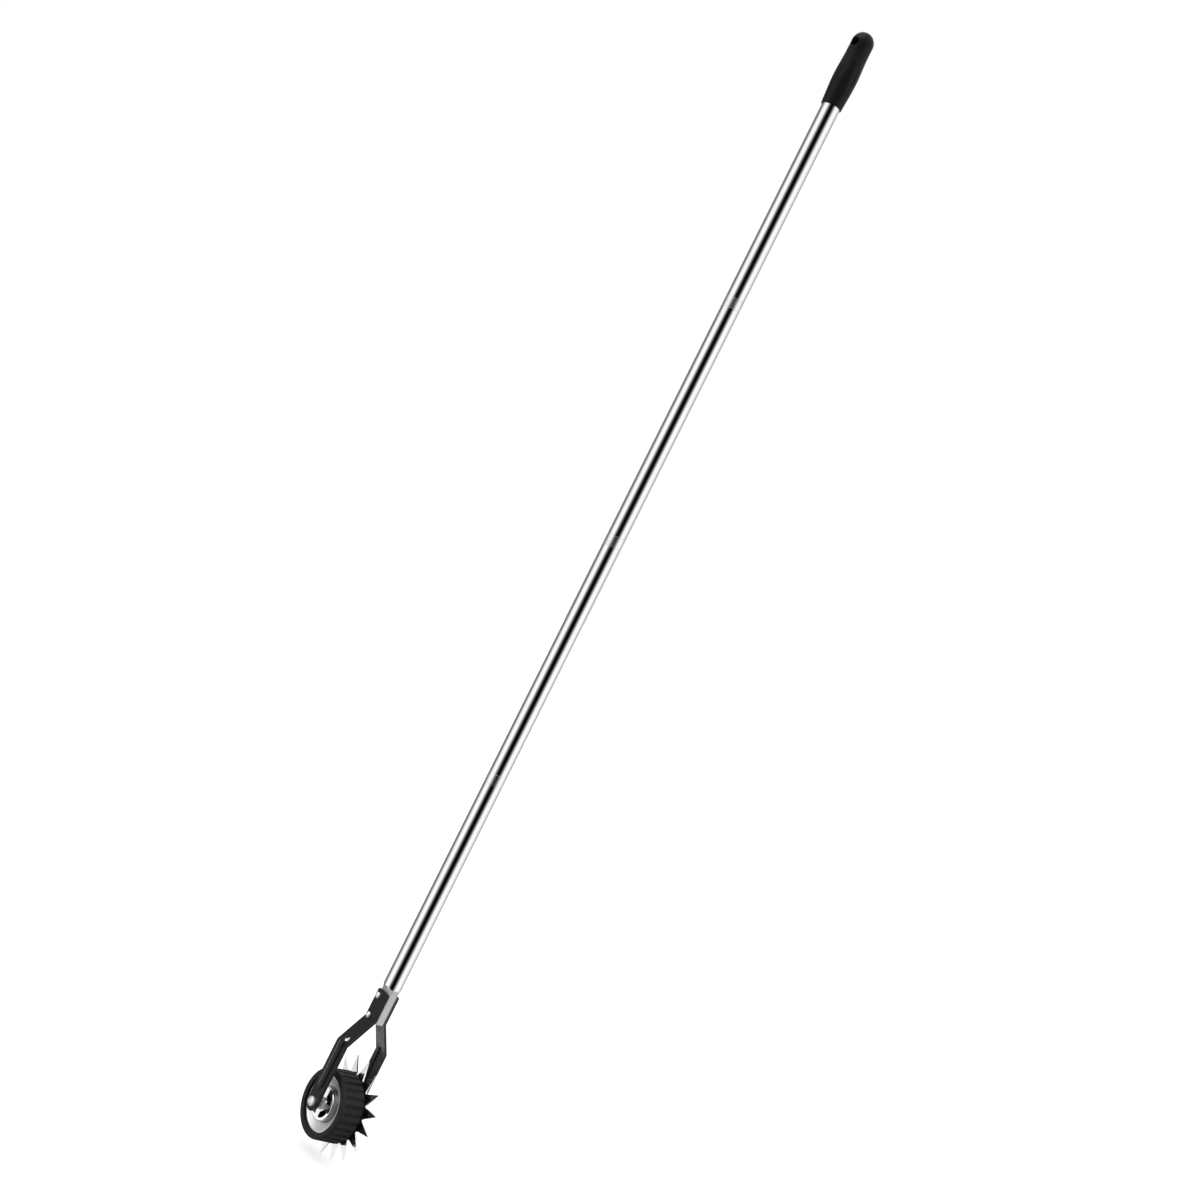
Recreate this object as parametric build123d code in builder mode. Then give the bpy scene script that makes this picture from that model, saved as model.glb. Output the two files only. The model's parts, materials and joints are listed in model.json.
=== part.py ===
from build123d import *
from math import atan2, cos, hypot, pi, radians, sin, sqrt
import os

os.makedirs("parts", exist_ok=True)

# Rotary lawn edger: a sectional tube handle, a two-armed fork, and a tyred wheel with a star cutter.
# Frame in millimetres: +Z up along the handle, Y along the axle, X the rolling direction.
# The origin is the middle of the hanging hole in the grip.

# Fits
slip_gap = 0.05
press_gap = 0.04
wheel_play = 0.2

# Handle tubes, joined end to end by screwed collars
tube_diameter = 22.0
tube_wall = 1.0
section_pitch = 300.0
joint_count = 3
collar_length = 13.4
tube_top_drop = 31.4
axle_drop = 1336.0

# Screwed joints between the tubes
spigot_length = 24.0
thread_radius = 7.0
thread_length = 20.0
socket_length = 26.0
stud_bore_radius = 4.0
collar_edge = 0.4

# Grip
grip_length = 92.7
grip_top_rise = 17.0
grip_mouth_radius = 12.5
grip_swell_radius = 14.25
grip_swell_height = 38.0
grip_neck_radius = 13.05
grip_neck_height = 64.0
grip_dome_radius = 13.0
grip_mouth_round = 0.8
grip_mouth_lean = 0.05
flute_count = 10
flute_radius = 8.0
flute_floor_radius = 13.5
hang_hole_radius = 5.0
hang_hole_round = 1.2

# Squared foot of the lowest tube
foot_thickness = 11.6
foot_width = 19.8
foot_corner = 2.2
foot_end_drop = 1.6
foot_blend_length = 8.0

# Fork arms
arm_width = 20.6
arm_thickness = 2.8
arm_gap = 53.6
arm_top_rise = 142.0
arm_upper_bend_rise = 107.5
arm_lower_bend_rise = 72.8
arm_bend_radius = 2.0
arm_corner = 1.5
rib_top_rise = 81.0
rib_bottom_rise = 15.0
rib_width = 13.0
rib_height = 1.6
rib_taper = 30.0
rib_wall = 1.9

# Bolts that clamp the arms to the foot
clamp_offset = -4.8
clamp_top_margin = 7.5
clamp_bend_margin = 2.6
clamp_seat_gap = 0.3
clamp_bolt_radius = 2.5
clamp_head_radius = 3.6
clamp_head_height = 3.3
clamp_head_step = 1.8
clamp_nut_flats = 8.0
clamp_nut_height = 4.0

# Axle
axle_bolt_radius = 3.0
axle_head_radius = 5.7
axle_head_height = 4.6
axle_head_step = 2.8
axle_sleeve_radius = 4.3
spacer_radius = 5.5
axle_washer_radius = 6.2
axle_washer_thickness = 1.6
axle_nut_flats = 10.0
axle_nut_height = 6.0
bolt_stick_out = 1.5
bolt_end_chamfer = 0.5
axle_hole_gap = 0.1

# Wheel, placed along Y by the star's face towards the tyre
star_face = 15.8
rim_width = 29.0
rim_radius = 32.0
rim_wall = 2.4
lip_width = 1.3
lip_round = 0.5
dish_foot = 1.2
dish_depth = 4.2
dish_slope = 14.0
web_thickness = 2.4
drum_radius = 20.2
drum_rise = 7.2
drum_draft = 0.6
drum_round = 1.2
hub_radius = 7.4
hub_left_stand = 0.6
spigot_stand = 0.4
window_inner_radius = 8.8
window_outer_radius = 15.8
window_corner = 1.4
spoke_count = 4
spoke_width = 7.0
boss_radius = 3.8
boss_sink = 1.6

# Plain bearings in the hub
bush_radius = 5.6
bush_flange_radius = 6.9
bush_flange = 1.2
bush_length = 10.0

# Tyre
tyre_radius = 40.6
tyre_taper = 0.9
tyre_overhang = 3.5
tyre_flare = 0.6
tyre_inset = 4.2
tyre_left_round = 2.0
tyre_right_round = 1.0
tread_count = 28
tread_groove_width = 3.8
tread_groove_depth = 1.2
tread_margin = 1.0

# Star cutter
tooth_count = 16
tooth_angle = -2.76
tooth_tip_radius = 59.4
gullet_radius = 2.1
tooth_half_angle = 15.5
tooth_blunt = 0.8
star_thickness = 2.0
star_edge_thickness = 0.9
star_bevel_radius = 45.0
screw_circle_radius = 22.0
screw_angle = 5.0
screw_count = 3
screw_radius = 1.6
screw_length = 12.0
screw_head_radius = 3.6
screw_head_height = 2.2
screw_hole_radius = 2.2

# Derived places
tube_radius = tube_diameter / 2
tube_bore_radius = tube_radius - tube_wall
tube_length = section_pitch - collar_length
axle_z = -axle_drop
grip_mouth_z = grip_top_rise - grip_length
grip_dome_z = grip_top_rise - grip_dome_radius
foot_half = foot_thickness / 2
foot_end_z = axle_z + arm_upper_bend_rise - foot_end_drop
foot_flat_z = axle_z + arm_top_rise
foot_round_z = foot_flat_z + foot_blend_length
arm_inner = arm_gap / 2
arm_outer = arm_inner + arm_thickness
plate_outer = foot_half + arm_thickness
arm_splay = (arm_inner - foot_half) / (arm_upper_bend_rise - arm_lower_bend_rise)
bend_half_slope = (sqrt(1 + arm_splay ** 2) - 1) / arm_splay
bend_shift = arm_thickness * bend_half_slope
clamp_lower_rise = arm_upper_bend_rise + clamp_bend_margin
clamp_rises = (clamp_lower_rise, arm_top_rise - clamp_top_margin)
rim_left = star_face - rim_width
star_right = star_face + star_thickness
hub_right = star_right + spigot_stand
web_front = rim_left + dish_depth
web_back = web_front + web_thickness
drum_face = web_front - drum_rise
drum_back = drum_face + web_thickness
hub_left = drum_face - hub_left_stand

axle_line = Axis((0, 0, axle_z), (0, 1, 0))
axle_section = Plane(origin=(0, 0, axle_z), x_dir=(0, 1, 0), z_dir=(1, 0, 0))


def axle_plane(y):
    """Plane square to the axle at y, facing -Y, with its own x along X and y along Z."""
    return Plane(origin=(0, y, axle_z), x_dir=(1, 0, 0), z_dir=(0, -1, 0))


# Grip: turned form with a domed end, flutes that fade out where it narrows, and a hanging hole
with BuildPart() as grip:
    with BuildSketch(Plane.XZ):
        with BuildLine():
            mouth = Line((0, grip_mouth_z), (grip_mouth_radius, grip_mouth_z))
            Spline(
                mouth @ 1,
                (grip_swell_radius, grip_mouth_z + grip_swell_height),
                (grip_neck_radius, grip_mouth_z + grip_neck_height),
                (grip_dome_radius, grip_dome_z),
                tangents=((grip_mouth_lean, 1), (0, 1)),
            )
            dome = CenterArc((0, grip_dome_z), grip_dome_radius, 0, 90)
            Line(dome @ 1, mouth @ 0)
        make_face()
    revolve(axis=Axis.Z)
    with BuildSketch(Plane.XY.offset(grip_mouth_z)):
        with PolarLocations(flute_floor_radius + flute_radius, flute_count):
            Circle(flute_radius)
    extrude(amount=grip_length, mode=Mode.SUBTRACT)
    mouth_rim = grip.edges().filter_by_position(Axis.Z, grip_mouth_z, grip_mouth_z)
    fillet(mouth_rim, radius=grip_mouth_round)
    with BuildSketch(Plane.XY.offset(grip_mouth_z)):
        Circle(tube_radius + slip_gap)
    extrude(amount=-tube_top_drop - grip_mouth_z, mode=Mode.SUBTRACT)
    with BuildSketch(Plane.XZ):
        Circle(hang_hole_radius)
    extrude(amount=grip_swell_radius, both=True, mode=Mode.SUBTRACT)
    hole_edges = grip.edges().filter_by_position(Axis.Z, -hang_hole_radius, hang_hole_radius)
    fillet(hole_edges.filter_by(lambda edge: abs(edge.center().Y) > hang_hole_radius), radius=hang_hole_round)
grip.part.label = "grip"
export_step(grip.part, "parts/grip.step")

# Handle tubes above the foot, numbered from the top
tube_names = ("tube_upper", "tube_mid_upper", "tube_mid_lower")
for section, tube_name in enumerate(tube_names):
    tube_top = -tube_top_drop - section * section_pitch
    with BuildPart() as tube:
        with BuildSketch(Plane.XY.offset(tube_top - tube_length)):
            Circle(tube_radius)
            Circle(tube_bore_radius, mode=Mode.SUBTRACT)
        extrude(amount=tube_length)
    tube.part.label = tube_name
    export_step(tube.part, f"parts/{tube_name}.step")

# Lowest tube: round, swaged to a rounded rectangle at its foot
with BuildPart() as tube_foot:
    for inset, step_mode in ((0.0, Mode.ADD), (tube_wall, Mode.SUBTRACT)):
        half = foot_half - inset
        reach = foot_width / 2 - inset
        corner = foot_corner - inset
        radius = tube_radius - inset
        side_angle = atan2(half - corner, reach)
        face_angle = atan2(half, reach - corner)
        corner_mid = corner * (1 - sqrt(0.5))
        turns = (side_angle, face_angle, pi - face_angle, pi - side_angle)
        turns = turns + tuple(pi + turn for turn in turns)
        foot_points = (
            (reach, half - corner),
            (reach - corner, half),
            (corner - reach, half),
            (-reach, half - corner),
            (-reach, corner - half),
            (corner - reach, -half),
            (reach - corner, -half),
            (reach, corner - half),
        )
        with BuildSketch(Plane.XY.offset(foot_end_z)):
            RectangleRounded(2 * reach, 2 * half, corner)
        extrude(amount=foot_flat_z - foot_end_z, mode=step_mode)
        with BuildSketch(Plane.XY.offset(foot_flat_z)):
            with BuildLine():
                for index in range(0, 8, 2):
                    first = foot_points[index]
                    second = foot_points[index + 1]
                    third = foot_points[(index + 2) % 8]
                    across = 1 if max(first[0], second[0]) > 0 else -1
                    along = 1 if max(first[1], second[1]) > 0 else -1
                    ThreePointArc(first, (across * (reach - corner_mid), along * (half - corner_mid)), second)
                    Line(second, third)
            make_face()
        with BuildSketch(Plane.XY.offset(foot_round_z)):
            with BuildLine():
                for index in range(8):
                    first_turn = turns[index]
                    last_turn = turns[index + 1] if index < 7 else turns[0] + 2 * pi
                    middle_turn = (first_turn + last_turn) / 2
                    ThreePointArc(
                        (radius * cos(first_turn), radius * sin(first_turn)),
                        (radius * cos(middle_turn), radius * sin(middle_turn)),
                        (radius * cos(last_turn), radius * sin(last_turn)),
                    )
            make_face()
        loft(mode=step_mode)
        with BuildSketch(Plane.XY.offset(foot_round_z)):
            Circle(radius)
        extrude(amount=-tube_top_drop - joint_count * section_pitch - foot_round_z, mode=step_mode)
    with BuildSketch(Plane.XZ):
        with Locations(*[(clamp_offset, axle_z + rise) for rise in clamp_rises]):
            Circle(clamp_bolt_radius + slip_gap)
    extrude(amount=tube_radius, both=True, mode=Mode.SUBTRACT)
tube_foot.part.label = "tube_foot"
export_step(tube_foot.part, "parts/tube_foot.step")

# Screwed joints, numbered from the top: a collar with a spigot above and a thread below, and its socket
for joint in range(joint_count):
    collar_top = -tube_top_drop - joint * section_pitch - tube_length
    collar_bottom = collar_top - collar_length
    with BuildPart() as joint_stud:
        with BuildSketch(Plane.XZ):
            with BuildLine():
                Polyline(
                    (stud_bore_radius, collar_bottom - thread_length),
                    (thread_radius, collar_bottom - thread_length),
                    (thread_radius, collar_bottom),
                    (tube_radius - collar_edge, collar_bottom),
                    (tube_radius, collar_bottom + collar_edge),
                    (tube_radius, collar_top - collar_edge),
                    (tube_radius - collar_edge, collar_top),
                    (tube_bore_radius - press_gap, collar_top),
                    (tube_bore_radius - press_gap, collar_top + spigot_length),
                    (stud_bore_radius, collar_top + spigot_length),
                    close=True,
                )
            make_face()
        revolve(axis=Axis.Z)
    joint_stud.part.label = f"joint_stud_{joint + 1}"
    export_step(joint_stud.part, f"parts/joint_stud_{joint + 1}.step")
    with BuildPart() as socket:
        with BuildSketch(Plane.XY.offset(collar_bottom - socket_length)):
            Circle(tube_bore_radius - press_gap)
            Circle(thread_radius + slip_gap, mode=Mode.SUBTRACT)
        extrude(amount=socket_length)
    socket.part.label = f"socket_{joint + 1}"
    export_step(socket.part, f"parts/socket_{joint + 1}.step")

# Fork arms: flat bars bent out and back, with a pressed rib and a flat seat for the lower bolt at the bend
arm_bottom_z = axle_z - arm_width / 2
rib_reach = arm_thickness + rib_height
for side, hand in ((-1, "left"), (1, "right")):
    with BuildPart() as fork_arm:
        with BuildSketch(Plane.YZ):
            with BuildLine():
                inner = FilletPolyline(
                    (side * foot_half, axle_z + arm_top_rise),
                    (side * foot_half, axle_z + arm_upper_bend_rise),
                    (side * arm_inner, axle_z + arm_lower_bend_rise),
                    (side * arm_inner, arm_bottom_z),
                    radius=(arm_bend_radius + arm_thickness, arm_bend_radius),
                )
                outer = FilletPolyline(
                    (side * plate_outer, axle_z + arm_top_rise),
                    (side * plate_outer, axle_z + arm_upper_bend_rise + bend_shift),
                    (side * arm_outer, axle_z + arm_lower_bend_rise + bend_shift),
                    (side * arm_outer, arm_bottom_z),
                    radius=(arm_bend_radius, arm_bend_radius + arm_thickness),
                )
                Line(inner @ 0, outer @ 0)
                Line(inner @ 1, outer @ 1)
            make_face()
        extrude(amount=arm_width / 2, both=True)
        rib_base = Plane(
            origin=(0, side * (arm_inner + slip_gap), axle_z + (rib_top_rise + rib_bottom_rise) / 2),
            x_dir=(0, 0, 1),
            z_dir=(0, side, 0),
        )
        with BuildSketch(rib_base):
            SlotOverall(rib_top_rise - rib_bottom_rise, rib_width)
        extrude(amount=rib_reach - slip_gap, taper=rib_taper)
        groove_base = rib_base.offset(-slip_gap - arm_thickness)
        with BuildSketch(groove_base):
            SlotOverall(rib_top_rise - rib_bottom_rise - rib_wall, rib_width - 2 * rib_wall)
        extrude(amount=rib_reach, taper=rib_taper / 2, mode=Mode.SUBTRACT)
        with BuildSketch(axle_plane(0)):
            with BuildLine():
                Polyline(
                    (-arm_width / 2, 0),
                    (-arm_width / 2, arm_top_rise - arm_corner),
                    (-arm_width / 2 + arm_corner, arm_top_rise),
                    (arm_width / 2 - arm_corner, arm_top_rise),
                    (arm_width / 2, arm_top_rise - arm_corner),
                    (arm_width / 2, 0),
                )
                ThreePointArc((arm_width / 2, 0), (0, -arm_width / 2), (-arm_width / 2, 0))
            make_face()
            Circle(axle_bolt_radius + axle_hole_gap, mode=Mode.SUBTRACT)
            with Locations(*[(clamp_offset, rise) for rise in clamp_rises]):
                Circle(clamp_bolt_radius + slip_gap, mode=Mode.SUBTRACT)
        extrude(amount=arm_outer + rib_height, both=True, mode=Mode.INTERSECT)
        seat_radius = clamp_head_radius if side < 0 else clamp_nut_flats / sqrt(3)
        seat_plane = Plane(origin=(0, side * plate_outer, axle_z), x_dir=(1, 0, 0), z_dir=(0, -1, 0))
        with BuildSketch(seat_plane):
            with Locations((clamp_offset, clamp_lower_rise)):
                Circle(seat_radius + clamp_seat_gap)
        extrude(amount=-side * arm_inner, mode=Mode.SUBTRACT)
    fork_arm.part.label = f"fork_arm_{hand}"
    export_step(fork_arm.part, f"parts/fork_arm_{hand}.step")

# Domed bolts and nuts that clamp the arms to the foot
with BuildPart() as clamp_bolts:
    for rise in clamp_rises:
        clamp_section = Plane(origin=(clamp_offset, 0, axle_z + rise), x_dir=(0, 1, 0), z_dir=(1, 0, 0))
        clamp_end = plate_outer + clamp_nut_height + bolt_stick_out
        with BuildSketch(clamp_section):
            with BuildLine():
                clamp_dome = TangentArc(
                    (-plate_outer - clamp_head_height, 0),
                    (-plate_outer - clamp_head_step, clamp_head_radius),
                    tangent=(0, 1),
                )
                Polyline(
                    clamp_dome @ 1,
                    (-plate_outer, clamp_head_radius),
                    (-plate_outer, clamp_bolt_radius),
                    (clamp_end - bolt_end_chamfer, clamp_bolt_radius),
                    (clamp_end, clamp_bolt_radius - bolt_end_chamfer),
                    (clamp_end, 0),
                    clamp_dome @ 0,
                )
            make_face()
        revolve(axis=Axis((clamp_offset, 0, axle_z + rise), (0, 1, 0)))
clamp_bolts.part.label = "clamp_bolts"
export_step(clamp_bolts.part, "parts/clamp_bolts.step")

with BuildPart() as clamp_nuts:
    with BuildSketch(axle_plane(plate_outer + clamp_nut_height)):
        with Locations(*[(clamp_offset, rise) for rise in clamp_rises]):
            RegularPolygon(radius=clamp_nut_flats / 2, side_count=6, major_radius=False)
            Circle(clamp_bolt_radius + slip_gap, mode=Mode.SUBTRACT)
    extrude(amount=clamp_nut_height)
clamp_nuts.part.label = "clamp_nuts"
export_step(clamp_nuts.part, "parts/clamp_nuts.step")

# Axle bolt, with the washer and nut outside the right arm
axle_end = arm_outer + axle_washer_thickness + axle_nut_height + bolt_stick_out
with BuildPart() as axle_bolt:
    with BuildSketch(axle_section):
        with BuildLine():
            axle_dome = TangentArc(
                (-arm_outer - axle_head_height, 0),
                (-arm_outer - axle_head_step, axle_head_radius),
                tangent=(0, 1),
            )
            Polyline(
                axle_dome @ 1,
                (-arm_outer, axle_head_radius),
                (-arm_outer, axle_bolt_radius),
                (axle_end - bolt_end_chamfer, axle_bolt_radius),
                (axle_end, axle_bolt_radius - bolt_end_chamfer),
                (axle_end, 0),
                axle_dome @ 0,
            )
        make_face()
    revolve(axis=axle_line)
axle_bolt.part.label = "axle_bolt"
export_step(axle_bolt.part, "parts/axle_bolt.step")

with BuildPart() as axle_washer:
    with BuildSketch(axle_plane(arm_outer + axle_washer_thickness)):
        Circle(axle_washer_radius)
        Circle(axle_bolt_radius + axle_hole_gap, mode=Mode.SUBTRACT)
    extrude(amount=axle_washer_thickness)
axle_washer.part.label = "axle_washer"
export_step(axle_washer.part, "parts/axle_washer.step")

with BuildPart() as axle_nut:
    with BuildSketch(axle_plane(arm_outer + axle_washer_thickness + axle_nut_height)):
        RegularPolygon(radius=axle_nut_flats / 2, side_count=6, major_radius=False)
        Circle(axle_bolt_radius + slip_gap, mode=Mode.SUBTRACT)
    extrude(amount=axle_nut_height)
axle_nut.part.label = "axle_nut"
export_step(axle_nut.part, "parts/axle_nut.step")

# Sleeve that the arms are tightened against, and the spacers that keep the wheel in place on it
with BuildPart() as axle_sleeve:
    with BuildSketch(axle_plane(arm_inner)):
        Circle(axle_sleeve_radius)
        Circle(axle_bolt_radius + axle_hole_gap, mode=Mode.SUBTRACT)
    extrude(amount=arm_gap)
axle_sleeve.part.label = "axle_sleeve"
export_step(axle_sleeve.part, "parts/axle_sleeve.step")

hub_span_left = hub_left - bush_flange - wheel_play
hub_span_right = hub_right + bush_flange + wheel_play
spacer_spans = (("left", -arm_inner, hub_span_left), ("right", hub_span_right, arm_inner))
for hand, spacer_start, spacer_end in spacer_spans:
    with BuildPart() as spacer:
        with BuildSketch(axle_plane(spacer_end)):
            Circle(spacer_radius)
            Circle(axle_sleeve_radius + slip_gap, mode=Mode.SUBTRACT)
        extrude(amount=spacer_end - spacer_start)
    spacer.part.label = f"spacer_{hand}"
    export_step(spacer.part, f"parts/spacer_{hand}.step")

# Rim: barrel, bowl-shaped channel round a raised drum with windows, long hub, and bosses for the screws
barrel_bore_radius = rim_radius - rim_wall
lip_inner_radius = rim_radius - lip_width
dish_radius = drum_radius + dish_foot
dish_lean = sin(radians(dish_slope))
dish_stand = cos(radians(dish_slope))
dish_rise = lip_inner_radius - dish_radius
dish_bulge = dish_depth * dish_stand - dish_rise * dish_lean
dish_sweep = (dish_rise ** 2 + dish_depth ** 2) / (2 * dish_bulge)
dish_centre_y = web_front - dish_sweep * dish_stand
dish_centre_radius = dish_radius - dish_sweep * dish_lean
dish_back_sweep = dish_sweep + web_thickness
dish_back_start = (
    dish_centre_y + dish_back_sweep * dish_stand,
    dish_centre_radius + dish_back_sweep * dish_lean,
)
dish_back_y = dish_centre_y + sqrt(dish_back_sweep ** 2 - (barrel_bore_radius - dish_centre_radius) ** 2)
dish_tangent = (-dish_lean, dish_stand)
hub_bore_radius = bush_radius + press_gap
with BuildSketch() as windows:
    Circle(window_outer_radius)
    Circle(window_inner_radius, mode=Mode.SUBTRACT)
    with PolarLocations(window_outer_radius / 2, spoke_count):
        Rectangle(window_outer_radius, spoke_width, mode=Mode.SUBTRACT)
    fillet(windows.vertices(), radius=window_corner)
with BuildPart() as wheel_rim:
    with BuildSketch(axle_section):
        with BuildLine():
            bowl = TangentArc((web_front, dish_radius), (rim_left, lip_inner_radius), tangent=dish_tangent)
            bowl_back = TangentArc(dish_back_start, (dish_back_y, barrel_bore_radius), tangent=dish_tangent)
            Polyline(
                bowl @ 1,
                (rim_left, rim_radius),
                (star_face, rim_radius),
                (star_face, barrel_bore_radius),
                bowl_back @ 1,
            )
            Polyline(
                bowl_back @ 0,
                (web_back, drum_radius - web_thickness),
                (drum_back, drum_radius - web_thickness - drum_draft),
                (drum_back, hub_radius),
                (hub_right, hub_radius),
                (hub_right, hub_bore_radius),
                (hub_left, hub_bore_radius),
                (hub_left, hub_radius),
                (drum_face, hub_radius),
                (drum_face, drum_radius - drum_draft),
                (web_front, drum_radius),
                bowl @ 0,
            )
        make_face()
    revolve(axis=axle_line)
    lip_rims = wheel_rim.edges().filter_by_position(Axis.Y, rim_left, rim_left)
    fillet(lip_rims, radius=lip_round)
    drum_rims = wheel_rim.edges().filter_by_position(Axis.Y, drum_face, drum_face).sort_by(SortBy.RADIUS)
    fillet(drum_rims[-1], radius=drum_round)
    with BuildSketch(axle_plane(star_face)):
        with PolarLocations(screw_circle_radius, screw_count, start_angle=screw_angle):
            Circle(boss_radius)
    extrude(amount=star_face - web_back + boss_sink)
    with BuildSketch(axle_plane(star_face)):
        with PolarLocations(screw_circle_radius, screw_count, start_angle=screw_angle):
            Circle(screw_radius + slip_gap)
    extrude(amount=screw_length, mode=Mode.SUBTRACT)
    with BuildSketch(axle_plane(drum_back + web_thickness)):
        add(windows.sketch)
    extrude(amount=3 * web_thickness, mode=Mode.SUBTRACT)
wheel_rim.part.label = "wheel_rim"
export_step(wheel_rim.part, "parts/wheel_rim.step")

# Flanged bushes pressed into the two ends of the hub
for hand, hub_end, outward in (("left", hub_left, -1), ("right", hub_right, 1)):
    with BuildPart() as hub_bush:
        with BuildSketch(axle_section):
            with BuildLine():
                Polyline(
                    (hub_end - outward * bush_length, axle_sleeve_radius + slip_gap),
                    (hub_end - outward * bush_length, bush_radius),
                    (hub_end, bush_radius),
                    (hub_end, bush_flange_radius),
                    (hub_end + outward * bush_flange, bush_flange_radius),
                    (hub_end + outward * bush_flange, axle_sleeve_radius + slip_gap),
                    close=True,
                )
            make_face()
        revolve(axis=axle_line)
    hub_bush.part.label = f"hub_bush_{hand}"
    export_step(hub_bush.part, f"parts/hub_bush_{hand}.step")

# Tyre: smooth left shoulder that stands out past the rim, then broad cross bars to the star's side
tyre_left = rim_left - tyre_overhang
tyre_right = star_face - tyre_inset
with BuildPart() as tyre:
    with BuildSketch(axle_section):
        with BuildLine():
            Polyline(
                (rim_left, rim_radius + press_gap),
                (tyre_left, rim_radius + press_gap + tyre_flare),
                (tyre_left, tyre_radius - tyre_taper),
                (tyre_right, tyre_radius),
                (tyre_right, rim_radius + press_gap),
                close=True,
            )
        make_face()
    revolve(axis=axle_line)
    tread_rims = tyre.edges().filter_by(GeomType.CIRCLE).sort_by(SortBy.RADIUS)[-2:].sort_by(Axis.Y)
    fillet(tread_rims[0], radius=tyre_left_round)
    tread_rims = tyre.edges().filter_by_position(Axis.Y, tyre_right, tyre_right).sort_by(SortBy.RADIUS)
    fillet(tread_rims[-1], radius=tyre_right_round)
    with BuildSketch(axle_plane(star_face)):
        with PolarLocations(tyre_radius, tread_count):
            Rectangle(2 * tread_groove_depth, tread_groove_width)
    extrude(amount=star_face - tyre_left - tyre_left_round - tread_margin, mode=Mode.SUBTRACT)
tyre.part.label = "tyre"
export_step(tyre.part, "parts/tyre.step")

# Star cutter: straight-flanked teeth with round gullets, ground thin on the side away from the tyre
half_pitch = 180 / tooth_count
flank_angle = radians(tooth_half_angle + half_pitch)
point_radius = tooth_tip_radius + tooth_blunt
valley_radius = point_radius * sin(radians(tooth_half_angle)) / sin(flank_angle)
star_points = []
for tooth in range(tooth_count):
    point_angle = radians(tooth_angle + 2 * half_pitch * tooth)
    valley_angle = point_angle + radians(half_pitch)
    star_points.append((point_radius * cos(point_angle), point_radius * sin(point_angle)))
    star_points.append((valley_radius * cos(valley_angle), valley_radius * sin(valley_angle)))
with BuildPart() as star_cutter:
    with BuildSketch(axle_plane(star_right)) as star_outline:
        with BuildLine():
            Polyline(*star_points, close=True)
        make_face()
        valley_reach = valley_radius + tooth_blunt
        valleys = star_outline.vertices().filter_by(lambda v: hypot(v.X, v.Y) < valley_reach)
        fillet(valleys, radius=gullet_radius)
        Circle(hub_radius + slip_gap, mode=Mode.SUBTRACT)
        with PolarLocations(screw_circle_radius, screw_count, start_angle=screw_angle):
            Circle(screw_hole_radius, mode=Mode.SUBTRACT)
    extrude(amount=star_thickness)
    with BuildSketch(axle_section):
        with BuildLine():
            Polyline(
                (star_face, 0),
                (star_face, tooth_tip_radius),
                (star_face + star_edge_thickness, tooth_tip_radius),
                (star_right, star_bevel_radius),
                (star_right, 0),
                close=True,
            )
        make_face()
    revolve(axis=axle_line, mode=Mode.INTERSECT)
star_cutter.part.label = "star_cutter"
export_step(star_cutter.part, "parts/star_cutter.step")

# Screws that hold the star to the rim's bosses
with BuildPart() as star_screws:
    with BuildSketch(axle_plane(star_right + screw_head_height)):
        with PolarLocations(screw_circle_radius, screw_count, start_angle=screw_angle):
            Circle(screw_head_radius)
    extrude(amount=screw_head_height)
    with BuildSketch(axle_plane(star_right)):
        with PolarLocations(screw_circle_radius, screw_count, start_angle=screw_angle):
            Circle(screw_radius)
    extrude(amount=screw_length)
star_screws.part.label = "star_screws"
export_step(star_screws.part, "parts/star_screws.step")
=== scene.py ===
import json
import logging
import math
from collections.abc import Iterable
from dataclasses import dataclass, replace
from enum import Enum

import bpy
from mathutils import Matrix, Vector


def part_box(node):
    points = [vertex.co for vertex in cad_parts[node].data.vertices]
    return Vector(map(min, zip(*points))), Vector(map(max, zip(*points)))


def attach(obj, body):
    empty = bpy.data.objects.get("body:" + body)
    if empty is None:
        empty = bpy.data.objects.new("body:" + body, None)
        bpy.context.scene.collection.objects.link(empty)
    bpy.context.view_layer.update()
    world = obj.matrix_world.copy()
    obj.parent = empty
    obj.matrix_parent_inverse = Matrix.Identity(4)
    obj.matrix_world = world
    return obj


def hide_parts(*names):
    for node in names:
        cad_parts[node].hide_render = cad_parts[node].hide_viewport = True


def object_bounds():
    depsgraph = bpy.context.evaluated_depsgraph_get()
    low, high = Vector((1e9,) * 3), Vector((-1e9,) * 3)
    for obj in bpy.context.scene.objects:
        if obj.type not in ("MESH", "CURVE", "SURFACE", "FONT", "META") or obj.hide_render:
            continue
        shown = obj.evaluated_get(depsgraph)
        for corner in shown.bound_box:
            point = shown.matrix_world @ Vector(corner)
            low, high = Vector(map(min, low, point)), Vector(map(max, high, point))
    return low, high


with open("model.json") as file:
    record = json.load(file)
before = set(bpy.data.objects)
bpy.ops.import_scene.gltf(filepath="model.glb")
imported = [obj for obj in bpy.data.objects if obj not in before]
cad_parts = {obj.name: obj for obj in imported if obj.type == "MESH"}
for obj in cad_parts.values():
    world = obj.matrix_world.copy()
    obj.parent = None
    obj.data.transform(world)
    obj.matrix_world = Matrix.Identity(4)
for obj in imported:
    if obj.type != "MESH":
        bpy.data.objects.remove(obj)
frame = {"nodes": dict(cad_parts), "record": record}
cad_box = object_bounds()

log = logging.getLogger("lawn_edger")

Color = tuple[float, float, float]
Place = tuple[float, float, float]
Rgba = tuple[float, float, float, float]
Range = tuple[float, float]
Outline = list[tuple[float, float]]
Piece = bpy.types.Object
Node = bpy.types.Node
Socket = bpy.types.NodeSocket
Tree = bpy.types.NodeTree

MM = 0.001
AXLE_Z = frame["record"]["behaviour"]["joints"][0]["pos_m"][2] / MM
AXLE_CENTRE: Place = (0.0, 0.0, AXLE_Z * MM)
ALONG_AXLE: Place = (0.0, 1.0, 0.0)
BOLT_SIDE: Place = (0.0, -1.0, 0.0)


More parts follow.
